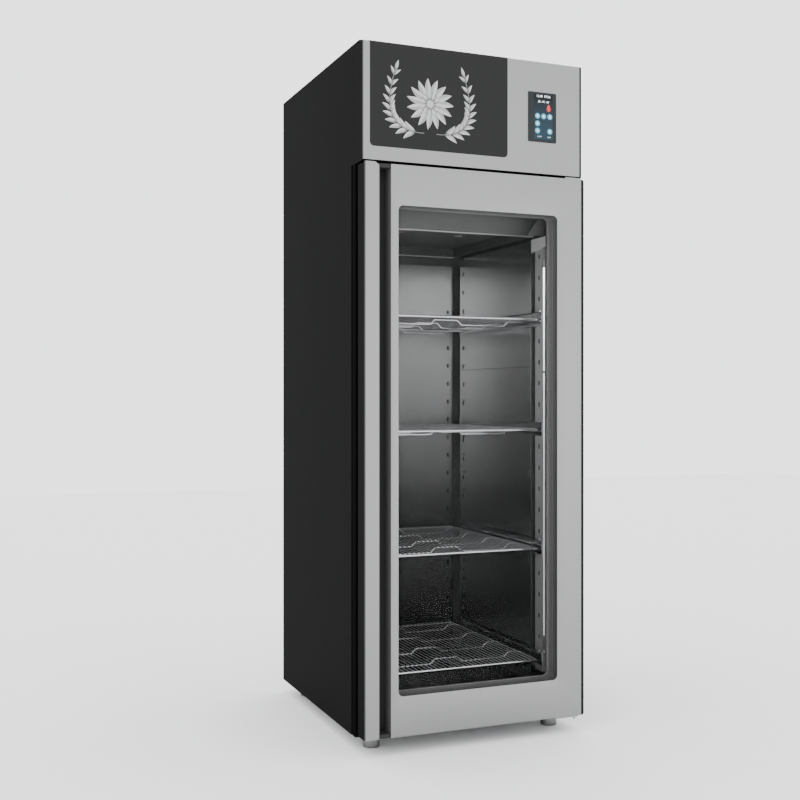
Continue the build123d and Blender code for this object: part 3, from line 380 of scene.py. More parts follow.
world = bpy.data.worlds.new("studioSky")
world.use_nodes = True
sky = world.node_tree.nodes["Background"]
sky.inputs[0].default_value = studio["skyTone"]
sky.inputs[1].default_value = studio["sky"]
bpy.context.scene.world = world

for name, (spot, aim, width, height, power) in studio["boxes"].items():
    light = bpy.data.lights.new(name, "AREA")
    light.shape = "RECTANGLE"
    light.size = width
    light.size_y = height
    light.energy = power
    holder = bpy.data.objects.new(name, light)
    holder.location = spot
    holder.rotation_euler = (Vector(aim) - Vector(spot)).to_track_quat("-Z", "Y").to_euler()
    bpy.context.scene.collection.objects.link(holder)

floorPoints = np.array([(-1, -1, 0), (1, -1, 0), (1, 1, 0), (-1, 1, 0)]) * studio["floorHalf"]
floorPoints = floorPoints - (0, 0, studio["floorDrop"])
floorMesh = bpy.data.meshes.new("studioFloor")
floorMesh.from_pydata(floorPoints.tolist(), [], [(0, 1, 2, 3)])
studioFloor = bpy.data.objects.new("studioFloor", floorMesh)
bpy.context.scene.collection.objects.link(studioFloor)
floorPaint = Paint("studioFloor")
floorTone = floorPaint.mixed(floorPaint.noise(floorPaint.place(), 0.8), grey(0.90), grey(0.92))
floorMesh.materials.append(floorPaint.done(Base_Color=floorTone, Roughness=0.75))
print("studio set")


# Surface building
class Net:
    # grids of points gathered into one mesh
    def __init__(self):
        self.points = []
        self.faces = []
        self.marks = []  # u and v of each point, for patterns that follow the surface
        self.count = 0

    def grid(self, points, wrapU=False, wrapV=False, capU=False, marks=None):
        # points[u, v]: neighbours in u and v make four-sided faces, and capU closes the first and last ring
        rows, columns = points.shape[:2]
        ids = np.arange(rows * columns).reshape(rows, columns) + self.count
        ring = ids
        if wrapU:
            ids = np.concatenate([ids, ids[:1]])
        if wrapV:
            ids = np.concatenate([ids, ids[:, :1]], axis=1)
        quads = np.stack([ids[:-1, :-1], ids[1:, :-1], ids[1:, 1:], ids[:-1, 1:]], axis=-1).reshape(-1, 4)
        self.faces += quads.tolist()
        if capU:
            self.faces += [ring[0].tolist(), ring[-1][::-1].tolist()]
        self.points.append(points.reshape(-1, 3))
        if marks is None:
            marks = np.zeros((rows, columns, 2))
        self.marks.append(marks.reshape(-1, 2))
        self.count += rows * columns
        return self

    def piece(self, name, body, slotName, replaced=(), paint=None, flat=30):
        # one mesh object on a CAD body
        mesh = bpy.data.meshes.new(name)
        mesh.from_pydata(np.concatenate(self.points).tolist(), [], self.faces)
        corners = np.zeros(len(mesh.loops), np.int32)
        mesh.loops.foreach_get("vertex_index", corners)
        layer = mesh.uv_layers.new(name="surface")
        layer.data.foreach_set("uv", np.concatenate(self.marks)[corners].astype(np.float32).ravel())
        return asPiece(name, mesh, body, slotName, replaced, paint, flat)


def asPiece(name, mesh, body, slotName, replaced=(), paint=None, flat=30, closed=True):
    if closed:  # faces of a closed shell are turned outwards
        shell = bmesh.new()
        shell.from_mesh(mesh)
        bmesh.ops.recalc_face_normals(shell, faces=shell.faces)
        shell.to_mesh(mesh)
        shell.free()
    mesh.shade_smooth()
    mesh.set_sharp_from_angle(angle=math.radians(flat))
    mesh.materials.append(finishes[paint or slotName])
    made = bpy.data.objects.new(name, mesh)
    bpy.context.scene.collection.objects.link(made)
    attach(made, body)
    if replaced:
        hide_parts(*replaced)
    return made


folding = {"merge": 1e-5, "flatWithin": 0.5, "foldFrom": 28}


# a CAD part's own shape with its folds and edges rounded: its triangles are merged and flat areas made whole
# first
def softened(name, node, radius, steps=2, paint=None, flat=35):
    shell = bmesh.new()
    shell.from_mesh(nodes[node].data)
    bmesh.ops.remove_doubles(shell, verts=shell.verts, dist=folding["merge"])
    bmesh.ops.dissolve_limit(shell, angle_limit=math.radians(folding["flatWithin"]), verts=shell.verts,
                             edges=shell.edges)
    mesh = bpy.data.meshes.new(name)
    shell.to_mesh(mesh)
    shell.free()
    made = asPiece(name, mesh, nodes[node]["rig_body"], slotOf[node], (node,), paint, flat, closed=False)
    rounding = made.modifiers.new("rounding", "BEVEL")
    rounding.width = radius
    rounding.segments = steps
    rounding.limit_method = "ANGLE"
    rounding.angle_limit = math.radians(folding["foldFrom"])
    rounding.harden_normals = False


# corners joined by straight runs and round bends: each bend is an arc that touches both runs
def bentPath(corners, radius, steps=6, loop=False):
    corners = np.asarray(corners, float)
    count = len(corners)
    turns = range(count) if loop else range(1, count - 1)
    path = [] if loop else [corners[:1]]
    for i in turns:
        here, before, after = corners[i], corners[i - 1], corners[(i + 1) % count]
        back = (before - here) / np.linalg.norm(before - here)
        ahead = (after - here) / np.linalg.norm(after - here)
        half = math.acos(np.clip(back @ ahead, -1, 1)) / 2
        if half > math.pi / 2 - 0.01:
            continue
        reach = radius / math.tan(half)
        middle = here + (back + ahead) / np.linalg.norm(back + ahead) * radius / math.sin(half)
        start = here + back * reach - middle
        end = here + ahead * reach - middle
        sweep = math.pi - 2 * half
        t = np.linspace(0, 1, steps)[:, None]
        path.append(middle + (np.sin((1 - t) * sweep) * start + np.sin(t * sweep) * end) / math.sin(sweep))
    if not loop:
        path.append(corners[-1:])
    return np.concatenate(path)


# a circle carried along a path that lies in one plane: each ring stands square to the path's direction
def tubeGrid(path, normal, radius, sides=8, loop=False):
    path = np.asarray(path, float)
    if loop:
        along = np.roll(path, -1, 0) - np.roll(path, 1, 0)
    else:
        along = np.gradient(path, axis=0)
    along /= np.linalg.norm(along, axis=1)[:, None]
    normal = np.asarray(normal, float)
    aside = np.cross(normal, along)
    aside /= np.linalg.norm(aside, axis=1)[:, None]
    turn = np.linspace(0, 2 * math.pi, sides, endpoint=False)[None, :, None]
    return path[:, None] + radius * (np.cos(turn) * aside[:, None] + np.sin(turn) * normal)


# an outline of radius and height turned about an axis: x and y go round with the angle, the height runs along
# the axis
def latheGrid(outline, spot, axis="Z", sides=32):
    outline = np.asarray(outline, float)
    turn = np.linspace(0, 2 * math.pi, sides, endpoint=False)[None, :]
    across = outline[:, :1] * np.cos(turn)
    up = outline[:, :1] * np.sin(turn)
    along = outline[:, 1:] + 0 * turn
    order = {"Z": (across, up, along), "Y": (across, along, -up)}[axis]
    return np.stack(order, axis=-1) + np.asarray(spot, float)


# a section carried round the window: share 0 lies on the window's rounded outline, moved outwards, and
# share 1 on the sheet's own square outline, moved inwards; depth runs back from the given plane
def windowGrid(window, corner, outer, plane, section, steps=12):
    (left, low), (right, high) = window
    t = np.linspace(0, 1, 2 * steps + 1)
    rings = []
    for share, offset, depth in section:
        ring = []
        for k, (sx, sz) in enumerate(((1, 1), (-1, 1), (-1, -1), (1, -1))):
            cx = (right if sx > 0 else left) - sx * corner
            cz = (high if sz > 0 else low) - sz * corner
            angle = (k + t) * math.pi / 2
            radius = corner + offset
            run = np.stack([cx + radius * np.cos(angle), cz + radius * np.sin(angle)], -1)
            if share:
                (outLeft, outLow), (outRight, outHigh) = outer
                ox = outRight - offset if sx > 0 else outLeft + offset
                oz = outHigh - offset if sz > 0 else outLow + offset
                first, second = np.clip(2 * t, 0, 1), np.clip(2 * t - 1, 0, 1)
                if k % 2 == 0:
                    run = np.stack([ox + second * (cx - ox), cz + first * (oz - cz)], -1)
                else:
                    run = np.stack([cx + first * (ox - cx), oz + second * (cz - oz)], -1)
            ring.append(run)
        ring = np.concatenate(ring)
        rings.append(np.stack([ring[:, 0], np.full(len(ring), plane + depth), ring[:, 1]], -1))
    return np.stack(rings)


# a quarter round from (0, radius) to (radius, 0), as offset and depth
def quarter(radius, steps=5):
    turn = np.linspace(0, math.pi / 2, steps)
    return [(radius * (1 - math.cos(a)), radius * (1 - math.sin(a))) for a in turn]


# a closed outline in X and Z given a thickness behind its front plane
def plateGrid(outline, front, thick):
    outline = np.asarray(outline, float)
    return np.stack([np.stack([outline[:, 0], np.full(len(outline), y), outline[:, 1]], -1)
                     for y in (front, front + thick)])


# a closed outline in X and Y carried up from one height to another
def uprightGrid(outline, low, high):
    return np.stack([np.column_stack([outline, np.full(len(outline), z)]) for z in (low, high)])


# a closed outline in Y and Z carried across from one X to another
def acrossGrid(outline, first, last):
    return np.stack([np.column_stack([np.full(len(outline), x), outline]) for x in (first, last)])


# points evenly round a circle
def ringOutline(centre, radius, sides=28, start=0.0):
    turn = np.linspace(0, 2 * math.pi, sides, endpoint=False) + start
    return np.stack([centre[0] + radius * np.cos(turn), centre[1] + radius * np.sin(turn)], -1)


# a rectangle with round corners, anticlockwise from its right side
def roundedOutline(low, high, radius, steps=6):
    outline = []
    for k, (sx, sz) in enumerate(((1, 1), (-1, 1), (-1, -1), (1, -1))):
        cx = (high[0] if sx > 0 else low[0]) - sx * radius
        cz = (high[1] if sz > 0 else low[1]) - sz * radius
        angle = np.linspace(k, k + 1, steps) * math.pi / 2
        outline.append(np.stack([cx + radius * np.cos(angle), cz + radius * np.sin(angle)], -1))
    return np.concatenate(outline)


# Door
doorSheet = {
    "fold": 0.0012, "edge": 0.0012, "corner": 0.015, "foldDepth": 0.027, "rimProud": 0.0004,
    "revealWall": 0.003, "revealEdge": 0.0004,
}
revealLow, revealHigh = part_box("window_reveal")
skinLow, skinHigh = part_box("door_front_skin")
rearLow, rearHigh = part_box("door_rear_panel")
wall, corner = doorSheet["revealWall"], doorSheet["corner"]
window = ((revealLow.x + wall, revealLow.z + wall), (revealHigh.x - wall, revealHigh.z - wall))
doorEdge = ((skinLow.x, skinLow.z), (skinHigh.x, skinHigh.z))


def foldedSheet(name, node, slotName, plane, way, thick):
    # front face, folded a little way into the window and round the outer edge, and back along its rear face
    fold = [(0, o, d) for o, d in quarter(doorSheet["fold"])]
    edge = [(1, o, d) for o, d in quarter(doorSheet["edge"])[::-1]]
    rear = [(1, 0, thick), (0, 0, thick)]
    section = [(share, offset, way * depth) for share, offset, depth in fold + edge + rear]
    sheet = windowGrid(window, corner, doorEdge, plane, section)
    Net().grid(sheet, wrapU=True, wrapV=True).piece(name, "door", slotName, (node,))


foldedSheet("doorSkin", "door_front_skin", "satin_steel", skinLow.y, 1, skinHigh.y - skinLow.y)
foldedSheet("doorRearSheet", "door_rear_panel", "dark_steel", rearHigh.y, -1, rearHigh.y - rearLow.y)


def revealBand(name, start, end, proud):
    # a ring round the window between two depths, its inner face a little proud of the reveal, edges rounded
    soft = doorSheet["revealEdge"]
    section = [(0, soft - proud, start), (0, -proud, start + soft), (0, -proud, end - soft),
               (0, soft - proud, end), (0, wall, end), (0, wall, start)]
    band = windowGrid(window, corner, doorEdge, revealLow.y, section)
    Net().grid(band, wrapU=True, wrapV=True).piece(name, "door", "satin_steel", ("window_reveal",), "reveal")


revealBand("windowReveal", 0.0, doorSheet["foldDepth"], 0.0)
revealBand("windowRim", doorSheet["foldDepth"], revealHigh.y - revealLow.y, doorSheet["rimProud"])

# bead between the reveal and the outer pane: an ellipse carried round the window
bead = {"across": 0.00096, "deep": 0.0008, "inwards": 0.00064, "before": 0.000832, "sides": 10}
beadTurn = np.linspace(0, 2 * math.pi, bead["sides"], endpoint=False)
beadSection = [(0, bead["across"] * math.cos(a) - bead["inwards"], bead["deep"] * math.sin(a))
               for a in beadTurn]
glassLow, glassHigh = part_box("glass_panes")
beadGrid = windowGrid(window, corner, doorEdge, glassLow.y - bead["before"], beadSection)
Net().grid(beadGrid, wrapU=True, wrapV=True).piece("glazingBead", "door", "door_rubber", paint="reveal")

# bellows seal: a dart at the front that sits in the frame, two folds behind it and a flat bar that holds the
# magnet. Its outline is in shares of its width and depth.
seal = {
    "width": 0.025, "corner": 0.004, "outline": (
        (0.30, 0.00), (0.70, 0.00), (0.72, 0.18), (0.94, 0.26), (1.00, 0.36), (0.92, 0.45), (0.72, 0.50),
        (0.90, 0.57), (1.00, 0.66), (1.00, 0.92), (0.94, 1.00), (0.06, 1.00), (0.00, 0.92), (0.00, 0.66),
        (0.10, 0.57), (0.28, 0.50), (0.08, 0.45), (0.00, 0.36), (0.06, 0.26), (0.28, 0.18)),
}
sealLow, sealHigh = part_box("door_gasket")
sealWidth, sealDepth = seal["width"], sealHigh.y - sealLow.y
sealInner = ((sealLow.x + sealWidth, sealLow.z + sealWidth), (sealHigh.x - sealWidth, sealHigh.z - sealWidth))
sealSection = [(0, u * sealWidth, v * sealDepth) for u, v in seal["outline"]]
sealNet = Net().grid(windowGrid(sealInner, seal["corner"], None, sealLow.y, sealSection, steps=5),
                     wrapU=True, wrapV=True)
sealNet.piece("bellowsSeal", "door", "door_rubber", ("door_gasket",), flat=50)

trimFlat = 4  # degrees past which a trim's faces stay flat
doorFolds = {  # node, radius of the folds, steps round them, finish
    "handleStrip": ("handle_strip", 0.0012, 3, "stripSteel"),
    "handleChannel": ("handle_channel", 0.0008, 2, "channelCoat"),
    "handleEnds": ("handle_end_caps", 0.0010, 2, "channelCoat"),
    "doorEdgeTrim": ("door_edge_trim", 0.0003, 2, "trimCoat", trimFlat),
    "paneFrame": ("door_inner_frame", 0.0008, 2, "profileCoat"),
}
for name, row in doorFolds.items():
    softened(name, *row)
print("door dressed")

# Header
headerFolds = {
    "headerFront": ("header_panel", 0.0004, 2, "headerSteel"),
    "headerEdgeTrim": ("header_edge_trim", 0.0003, 2, "trimCoat", trimFlat),
    "displayHousing": ("display_housing", 0.0008, 3),
    "displayPane": ("display_glass", 0.0004, 3),
}
for name, row in headerFolds.items():
    softened(name, *row)

# lit screen behind the display's pane: a ground, round buttons with plain marks, and figures
paneLow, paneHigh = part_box("display_glass")
screen = {
    "left": 0.019, "right": 0.013, "top": 0.006, "bottom": 0.008, "corner": 0.002,
    "proud": 0.0002, "layer": 0.0002, "thick": 0.0004, "button": 0.0086, "bar": 0.0009,
    "buttons": ((0.031, 0.073), (0.0525, 0.073), (0.074, 0.073), (0.031, 0.096), (0.031, 0.1185),
                (0.074, 0.1185)),
    "figures": {  # text, size, across from the middle, down from the top
        "screenClock": ("12:40  07.06", 0.0100, 0.0, 0.015),
        "screenSpan": ("28 : 35 : 60", 0.0085, 0.0, 0.031),
        "screenLow": ("1 2 3 4", 0.0055, -0.014, 0.138), "screenHigh": ("5 6 7", 0.0055, 0.020, 0.138),
    },
}
screenFront = paneLow.y - screen["proud"]
buttonFront = screenFront - screen["layer"]
ground = roundedOutline((paneLow.x + screen["left"], paneLow.z + screen["bottom"]),
                        (paneHigh.x - screen["right"], paneHigh.z - screen["top"]), screen["corner"])


def screenPlate(net, outline, front, thick=screen["thick"]):
    return net.grid(plateGrid(outline, front, thick), wrapV=True, capU=True)


screenPlate(Net(), ground, screenFront).piece("screenGround", "header_flap", "display_face", paint="screen")
buttonNet, markNet = Net(), Net()
bar = screen["bar"]
for k, (across, down) in enumerate(screen["buttons"]):
    centre = np.array([paneLow.x + across, paneHigh.z - down])
    screenPlate(buttonNet, ringOutline(centre, screen["button"]), buttonFront)
    reach = screen["button"] * 0.5
    if k % 3 == 0:  # two crossed bars
        shapes = [roundedOutline(centre - (reach, bar), centre + (reach, bar), bar * 0.9),
                  roundedOutline(centre - (bar, reach), centre + (bar, reach), bar * 0.9)]
    elif k % 3 == 1:  # triangle
        shapes = [ringOutline(centre, reach, 3, math.pi / 2)]
    else:  # three level bars
        shapes = [roundedOutline(centre + (-reach, z - bar * 0.7), centre + (reach, z + bar * 0.7), bar * 0.6)
                  for z in (-reach * 0.6, 0.0, reach * 0.6)]
    for order, shape in enumerate(shapes):
        screenPlate(markNet, shape, screenFront - 0.0003 - 0.00005 * order, 0.0003)
buttonNet.piece("screenButtons", "header_flap", "display_face", paint="screenButton")
markNet.piece("screenMarks", "header_flap", "display_face", paint="screenMark")

# warning drop: a circle whose radius grows by 0.9 of itself at the top, as the sixth power of the cosine of
# the angle from it
drop = {"radius": 0.0075, "narrow": 0.9, "point": 0.9, "across": 0.070, "down": 0.050}
turn = np.linspace(0, 2 * math.pi, 32, endpoint=False)
dropRadius = drop["radius"] * (1 + drop["point"] * np.maximum(0, np.cos(turn)) ** 6)
dropShape = np.stack([paneLow.x + drop["across"] + dropRadius * np.sin(turn) * drop["narrow"],
                      paneHigh.z - drop["down"] + dropRadius * np.cos(turn)], -1)
screenPlate(Net(), dropShape[::-1], buttonFront).piece("screenDrop", "header_flap", "display_face",
                                                       paint="screenAlert")


def figures(name, text, size, spot):
    # plain figures: a text curve with a little thickness, made a mesh and stood up to face the front
    curve = bpy.data.curves.new(name, "FONT")
    curve.body = text
    curve.size = size
    curve.extrude = 0.00012
    curve.align_x = "CENTER"
    curve.resolution_u = 4
    holder = bpy.data.objects.new(name, curve)
    bpy.context.scene.collection.objects.link(holder)
    bpy.context.view_layer.update()
    mesh = bpy.data.meshes.new_from_object(holder.evaluated_get(bpy.context.evaluated_depsgraph_get()))
    bpy.data.objects.remove(holder)
    flat = np.zeros(len(mesh.vertices) * 3, np.float32)
    mesh.vertices.foreach_get("co", flat)
    x, y, z = flat.reshape(-1, 3).T
    stood = np.stack([spot[0] + x, buttonFront - z, spot[1] + y], -1)
    mesh.vertices.foreach_set("co", stood.astype(np.float32).ravel())
    mesh.materials.clear()
    asPiece(name, mesh, "header_flap", "display_face", paint="screenMark", closed=False)


screenMiddle = (paneLow.x + screen["left"] + paneHigh.x - screen["right"]) / 2
for name, (text, size, across, down) in screen["figures"].items():
    figures(name, text, size, (screenMiddle + across, paneHigh.z - down))
softened("artSheet", "art_panel", 0.0003, flat=trimFlat)

# art panel: a rosette between two leafy sprigs, printed on the dark sheet. A leaf is a flat lens: its
# half-width goes as the sine of the way along it, and its section is an ellipse.
artLow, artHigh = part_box("art_panel")
art = {
    "centre": (-0.152, 1.908), "rise": 0.0004, "leafSteps": 12, "leafSides": 10, "pairs": 10,
    "leaf": (0.046, 0.028), "leafWidth": 0.32, "spread": 36, "bend": 0.08,
    "stem": ((0.020, -0.088), (0.172, -0.092), (0.112, 0.088)), "stemRadius": 0.0013, "stemSteps": 28,
    "petals": ((15, 0.021, 0.055, 0.019, 0.0), (11, 0.009, 0.036, 0.016, 0.12)), "core": 0.011,
}
artFace = artLow.y
artNet = Net()


def leaf(root, heading, length, width, bend=0.0, lift=1.0):
    u = np.linspace(0.0, 1.0, art["leafSteps"])[:, None]
    t = np.linspace(0, 2 * math.pi, art["leafSides"], endpoint=False)[None, :]
    ahead = np.array([math.cos(heading), math.sin(heading)])
    aside = np.array([-ahead[1], ahead[0]])
    half = np.maximum(width / 2 * np.sin(math.pi * u ** 0.8) ** 0.8, width * 0.01)
    spine = np.array(root) + ahead * (length * u) + aside * (bend * length * np.sin(math.pi * u))
    flat = spine[:, None, :] + aside * (half * np.cos(t))[..., None]
    depth = artFace - art["rise"] * lift * (half / (width / 2)) * np.sin(t)
    points = np.stack([flat[..., 0] + art["centre"][0], depth, flat[..., 1] + art["centre"][1]], -1)
    marks = np.stack([length * u + 0 * t, half * np.cos(t)], -1)
    artNet.grid(points, wrapV=True, capU=True, marks=marks)


def alongStem(bend, s):
    # a parabola through the stem's ends, drawn towards its middle point
    return (1 - s) ** 2 * bend[0] + 2 * s * (1 - s) * bend[1] + s ** 2 * bend[2]


for count, start, length, width, turnBy in art["petals"]:
    for k in range(count):
        heading = 2 * math.pi * (k + turnBy) / count
        root = (start * math.cos(heading), start * math.sin(heading))
        leaf(root, heading, length, width, 0.05, 1 + 2 * turnBy)
for side in (-1, 1):
    bend = np.array(art["stem"]) * (side, 1)
    stem = alongStem(bend, np.linspace(0, 1, art["stemSteps"])[:, None]) + art["centre"]
    path = np.stack([stem[:, 0], np.full(len(stem), artFace), stem[:, 1]], -1)
    artNet.grid(tubeGrid(path, (0, 1, 0), art["stemRadius"], 8), wrapV=True, capU=True)
    first, last = art["leaf"]
    for k in range(art["pairs"]):
        share = 0.10 + 0.86 * k / (art["pairs"] - 1)
        ahead = (1 - share) * (bend[1] - bend[0]) + share * (bend[2] - bend[1])
        heading = math.atan2(ahead[1], ahead[0])
        length = first + (last - first) * share
        for way in (-1, 1):
            leaf(alongStem(bend, share), heading + way * math.radians(art["spread"]), length,
                 length * art["leafWidth"], -way * art["bend"])
    leaf(bend[2], math.atan2(*(bend[2] - bend[1])[::-1]), last * 1.2, last * 0.36)
coreOutline = [(0.0001, -art["rise"] * 3), (art["core"] * 0.5, -art["rise"] * 2.6),
               (art["core"], -art["rise"] * 1.4), (art["core"] * 1.05, 0.0003), (0.0001, 0.0003)]
coreRing = latheGrid(coreOutline, (art["centre"][0], artFace, art["centre"][1]), "Y", 30)
artNet.grid(coreRing, wrapV=True, marks=np.full((5, 30, 2), (0.02, -0.001)))
artNet.piece("artGarland", "header_flap", "art_print", paint="engraving", flat=50)
print("header dressed")

# Carcass and roof
carcassFolds = {
    "roofSheet": ("roof_panel", 0.0007, 2, "roofCoat"),
    "controlBox": ("control_box", 0.001),
    "hingeBrackets": ("hinge_brackets", 0.0012),
    "frontFrame": ("front_frame", 0.0008, 2, "frameCoat"),
    "sideSkins": ("side_panels", 0.0004),
}
for name, row in carcassFolds.items():
    softened(name, *row)

# pressed louvres behind the vents of the back: each blade curves inwards and down from its vent's upper edge,
# falling as the square of the way in
vent = {
    "length": 0.150, "beyond": 0.002, "height": 0.005, "across": 0.190, "up": 0.016, "columns": 3, "rows": 11,
    "middle": 1.9045, "face": 0.4098, "deep": 0.007, "fall": 0.009, "thick": 0.0008,
}
way = np.linspace(0, 1, 6)
bladeY, bladeZ = vent["face"] - vent["deep"] * way, -vent["fall"] * way ** 2
bladeRing = np.concatenate([np.stack([bladeY, bladeZ], -1),
                            np.stack([bladeY, bladeZ + vent["thick"]], -1)[::-1]])
bladeNet = Net()
bladeReach = vent["length"] / 2 + vent["beyond"]
for column in range(vent["columns"]):
    for row in range(vent["rows"]):
        x = (column - (vent["columns"] - 1) / 2) * vent["across"]
        top = vent["middle"] + (row - (vent["rows"] - 1) / 2) * vent["up"] + vent["height"] / 2
        blade = acrossGrid(bladeRing, x - bladeReach, x + bladeReach) + (0, 0, top)
        bladeNet.grid(blade, wrapV=True, capU=True)
bladeNet.piece("backLouvres", "cabinet", "galvanised_sheet")

# levelling feet: a plain cylinder with rounded edges and a fine groove, under a threaded stem
foot = {
    "radius": 0.0257, "top": 0.0397, "edge": 0.0016, "stem": 0.006, "thread": 0.0007, "sides": 44,
    "groove": ((0.009, 0.0), (0.0094, 0.0004), (0.0106, 0.0004), (0.011, 0.0)),
}
for name in ("foot_front_left", "foot_front_right", "foot_rear_left", "foot_rear_right"):
    low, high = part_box(name)
    cx, cy = (low.x + high.x) / 2, (low.y + high.y) / 2
    top, radius, edge, stem = foot["top"], foot["radius"], foot["edge"], foot["stem"]
    ridges = np.linspace(top, high.z - 0.0005, 4)
    thread = [(stem - foot["thread"] * (i % 2), z) for i, z in enumerate(ridges)]
    rim = [(radius - o, d) for o, d in quarter(edge)[::-1]]
    groove = [(radius - depth, z) for z, depth in foot["groove"]]
    outline = [(0.0, 0.0), (radius - edge * 1.6, 0.0)] + rim + groove
    outline += [(r, top - z) for r, z in rim[::-1]] + [(stem + 0.0005, top)] + thread + [(0.0, high.z)]
    Net().grid(latheGrid(outline, (cx, cy, 0), "Z", foot["sides"]), wrapV=True).piece(
        name.replace("foot_", "levelling_"), name + "_body", "polished_steel", (name,), "footSteel", flat=40)
print("carcass dressed")

# Inside
insideFolds = {
    "rackPosts": ("rack_posts", 0.0005, 2, "rack"),
    "ductPanels": ("duct_panels", 0.0005, 2, "inner"),
    "rearDuct": ("rear_duct_panel", 0.0006, 2, "innerRear"),
    "shelfGuides": ("shelf_guides", 0.0005, 2, "inner"),
    "evaporatorCover": ("evaporator_cover", 0.0010, 3, "cover"),
    "ledProfiles": ("led_profiles", 0.0008, 2, "profileCoat"),
}
for name, row in insideFolds.items():
    softened(name, *row)

# hemmed lips along the front and rear edges of the evaporator's cover, and a knob under its tray
coverLow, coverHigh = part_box("evaporator_cover")
hem = {
    "radius": 0.0018, "front": 0.039, "beyond": 0.006, "knob": (0.135, 0.015), "tray": 0.034,
    "knobOutline": ((0.0001, 0.0), (0.013, 0.0), (0.013, -0.0015), (0.0117, -0.003), (0.0039, -0.0036),
                    (0.0001, -0.0036)),
}
hemZ = coverLow.z + hem["radius"] * 0.6
hemNet = Net()
for y, beyond in ((coverLow.y + hem["front"], hem["beyond"]), (coverHigh.y - hem["radius"] * 0.5, 0.0)):
    ends = np.array([(coverLow.x - beyond, y, hemZ), (0.0, y, hemZ), (coverHigh.x + beyond, y, hemZ)])
    hemNet.grid(tubeGrid(ends, (0, 1, 0), hem["radius"], 12), wrapV=True, capU=True)
hemNet.piece("coverHem", "cabinet", "satin_steel", paint="innerBright")
knobNet = Net().grid(latheGrid(hem["knobOutline"], (*hem["knob"], coverLow.z + hem["tray"])), wrapV=True)
knobNet.piece("trayKnob", "cabinet", "satin_steel", paint="innerBright")

# light strips: two lengths on each side under a round-edged lens, with a plain cap at each end
ledLow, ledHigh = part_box("led_diffusers")
led = {"front": 0.0012, "rear": 0.0035, "thick": 0.0015, "round": 0.0010,
       "lengths": ((0.056, 0.8855), (0.8915, 1.219)), "caps": ((0.0, 0.009), (1.220, 1.246))}
lensNet, capNet = Net(), Net()
y0, y1 = ledLow.y + led["front"], ledHigh.y - led["rear"]
for side in (-1, 1):
    face = side * ledHigh.x
    inner = side * (ledHigh.x - led["thick"])
    edge, slant = led["round"], led["round"] * 0.3
    ring = np.array([(face, y0), (inner + side * edge, y0), (inner + side * slant, y0 + slant),
                     (inner, y0 + edge), (inner, y1 - edge), (inner + side * slant, y1 - slant),
                     (inner + side * edge, y1), (face, y1)])
    for net, spans in ((lensNet, led["lengths"]), (capNet, led["caps"])):
        for start, end in spans:
            net.grid(uprightGrid(ring, ledLow.z + start, ledLow.z + end), wrapV=True, capU=True)
lensNet.piece("ledLenses", "cabinet", "light_diffuser", ("led_diffusers",))
capNet.piece("ledCaps", "cabinet", "light_diffuser", ("led_diffusers",), "capWhite")

# plates at the cover's ends: one closes the corner above each rack, its lower edge cut slanting, a narrow one
# follows the cover's sloping face out to the wall, and a gusset with a slanting edge stands before that face
cheek = {
    "inner": 0.2742, "thick": 0.0012, "front": -0.330, "rear": -0.2385, "low": 1.5060, "high": 1.549,
    "slant": 0.010, "flange": (0.2655, 0.2770), "top": (-0.2968, 1.658), "foot": (-0.2582, 1.5575),
    "gusset": ((0.225, 1.5525), (0.3035, 1.5525), (0.3035, 1.655), (0.2655, 1.655), (0.2655, 1.603)),
    "gussetY": -0.300,
}
thick = cheek["thick"]
(topY, topZ), (footY, footZ) = cheek["top"], cheek["foot"]
cheekOutline = np.array([(cheek["front"], cheek["low"] + cheek["slant"]), (cheek["rear"], cheek["low"]),
                         (cheek["rear"], cheek["high"]), (cheek["front"], cheek["high"])])
flangeOutline = np.array([(topY, topZ), (footY, footZ), (footY - thick, footZ), (topY - thick, topZ)])
cheekNet, flangeNet = Net(), Net()
for side in (-1, 1):
    plate = acrossGrid(cheekOutline, side * cheek["inner"], side * (cheek["inner"] + thick))
    cheekNet.grid(plate, wrapV=True, capU=True)
    first, last = cheek["flange"]
    flangeNet.grid(acrossGrid(flangeOutline, side * first, side * last), wrapV=True, capU=True)
    gusset = np.array(cheek["gusset"]) * (side, 1)
    flangeNet.grid(plateGrid(gusset, cheek["gussetY"], thick), wrapV=True, capU=True)
# the corner plates carry painted light in their pale finish
cheekNet.piece("cornerCheeks", "cabinet", "satin_steel", paint="cheek")
flangeNet.piece("coverFlanges", "cabinet", "satin_steel", paint="profileCoat")

# stacked duct panels: a seam across each side, and dark plates as painted shadows of the return slots beside
# the back corner
duct = {
    "web": 0.275, "behind": 0.0002, "proud": 0.0004, "inset": 0.002, "seamZ": 1.139, "seam": 0.0012,
    "slotZ": 1.0910, "pitch": 0.0657, "count": 17, "above": 4, "slotX": 0.2425, "slotHalf": 0.0035,
    "slotHigh": 0.0065, "slotCorner": 0.001, "margin": 0.02,
}
ductLow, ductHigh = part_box("duct_panels")
rearDuctLow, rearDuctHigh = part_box("rear_duct_panel")
seamAndShadowNet = Net()
for side in (-1, 1):
    near, far = side * (duct["web"] - duct["behind"]), side * (duct["web"] + duct["proud"])
    y0, y1 = ductLow.y + duct["inset"], ductHigh.y - duct["inset"]
    ring = np.array([(near, y0), (far, y0), (far, y1), (near, y1)])
    seamAndShadowNet.grid(uprightGrid(ring, duct["seamZ"], duct["seamZ"] + duct["seam"]), wrapV=True, capU=True)
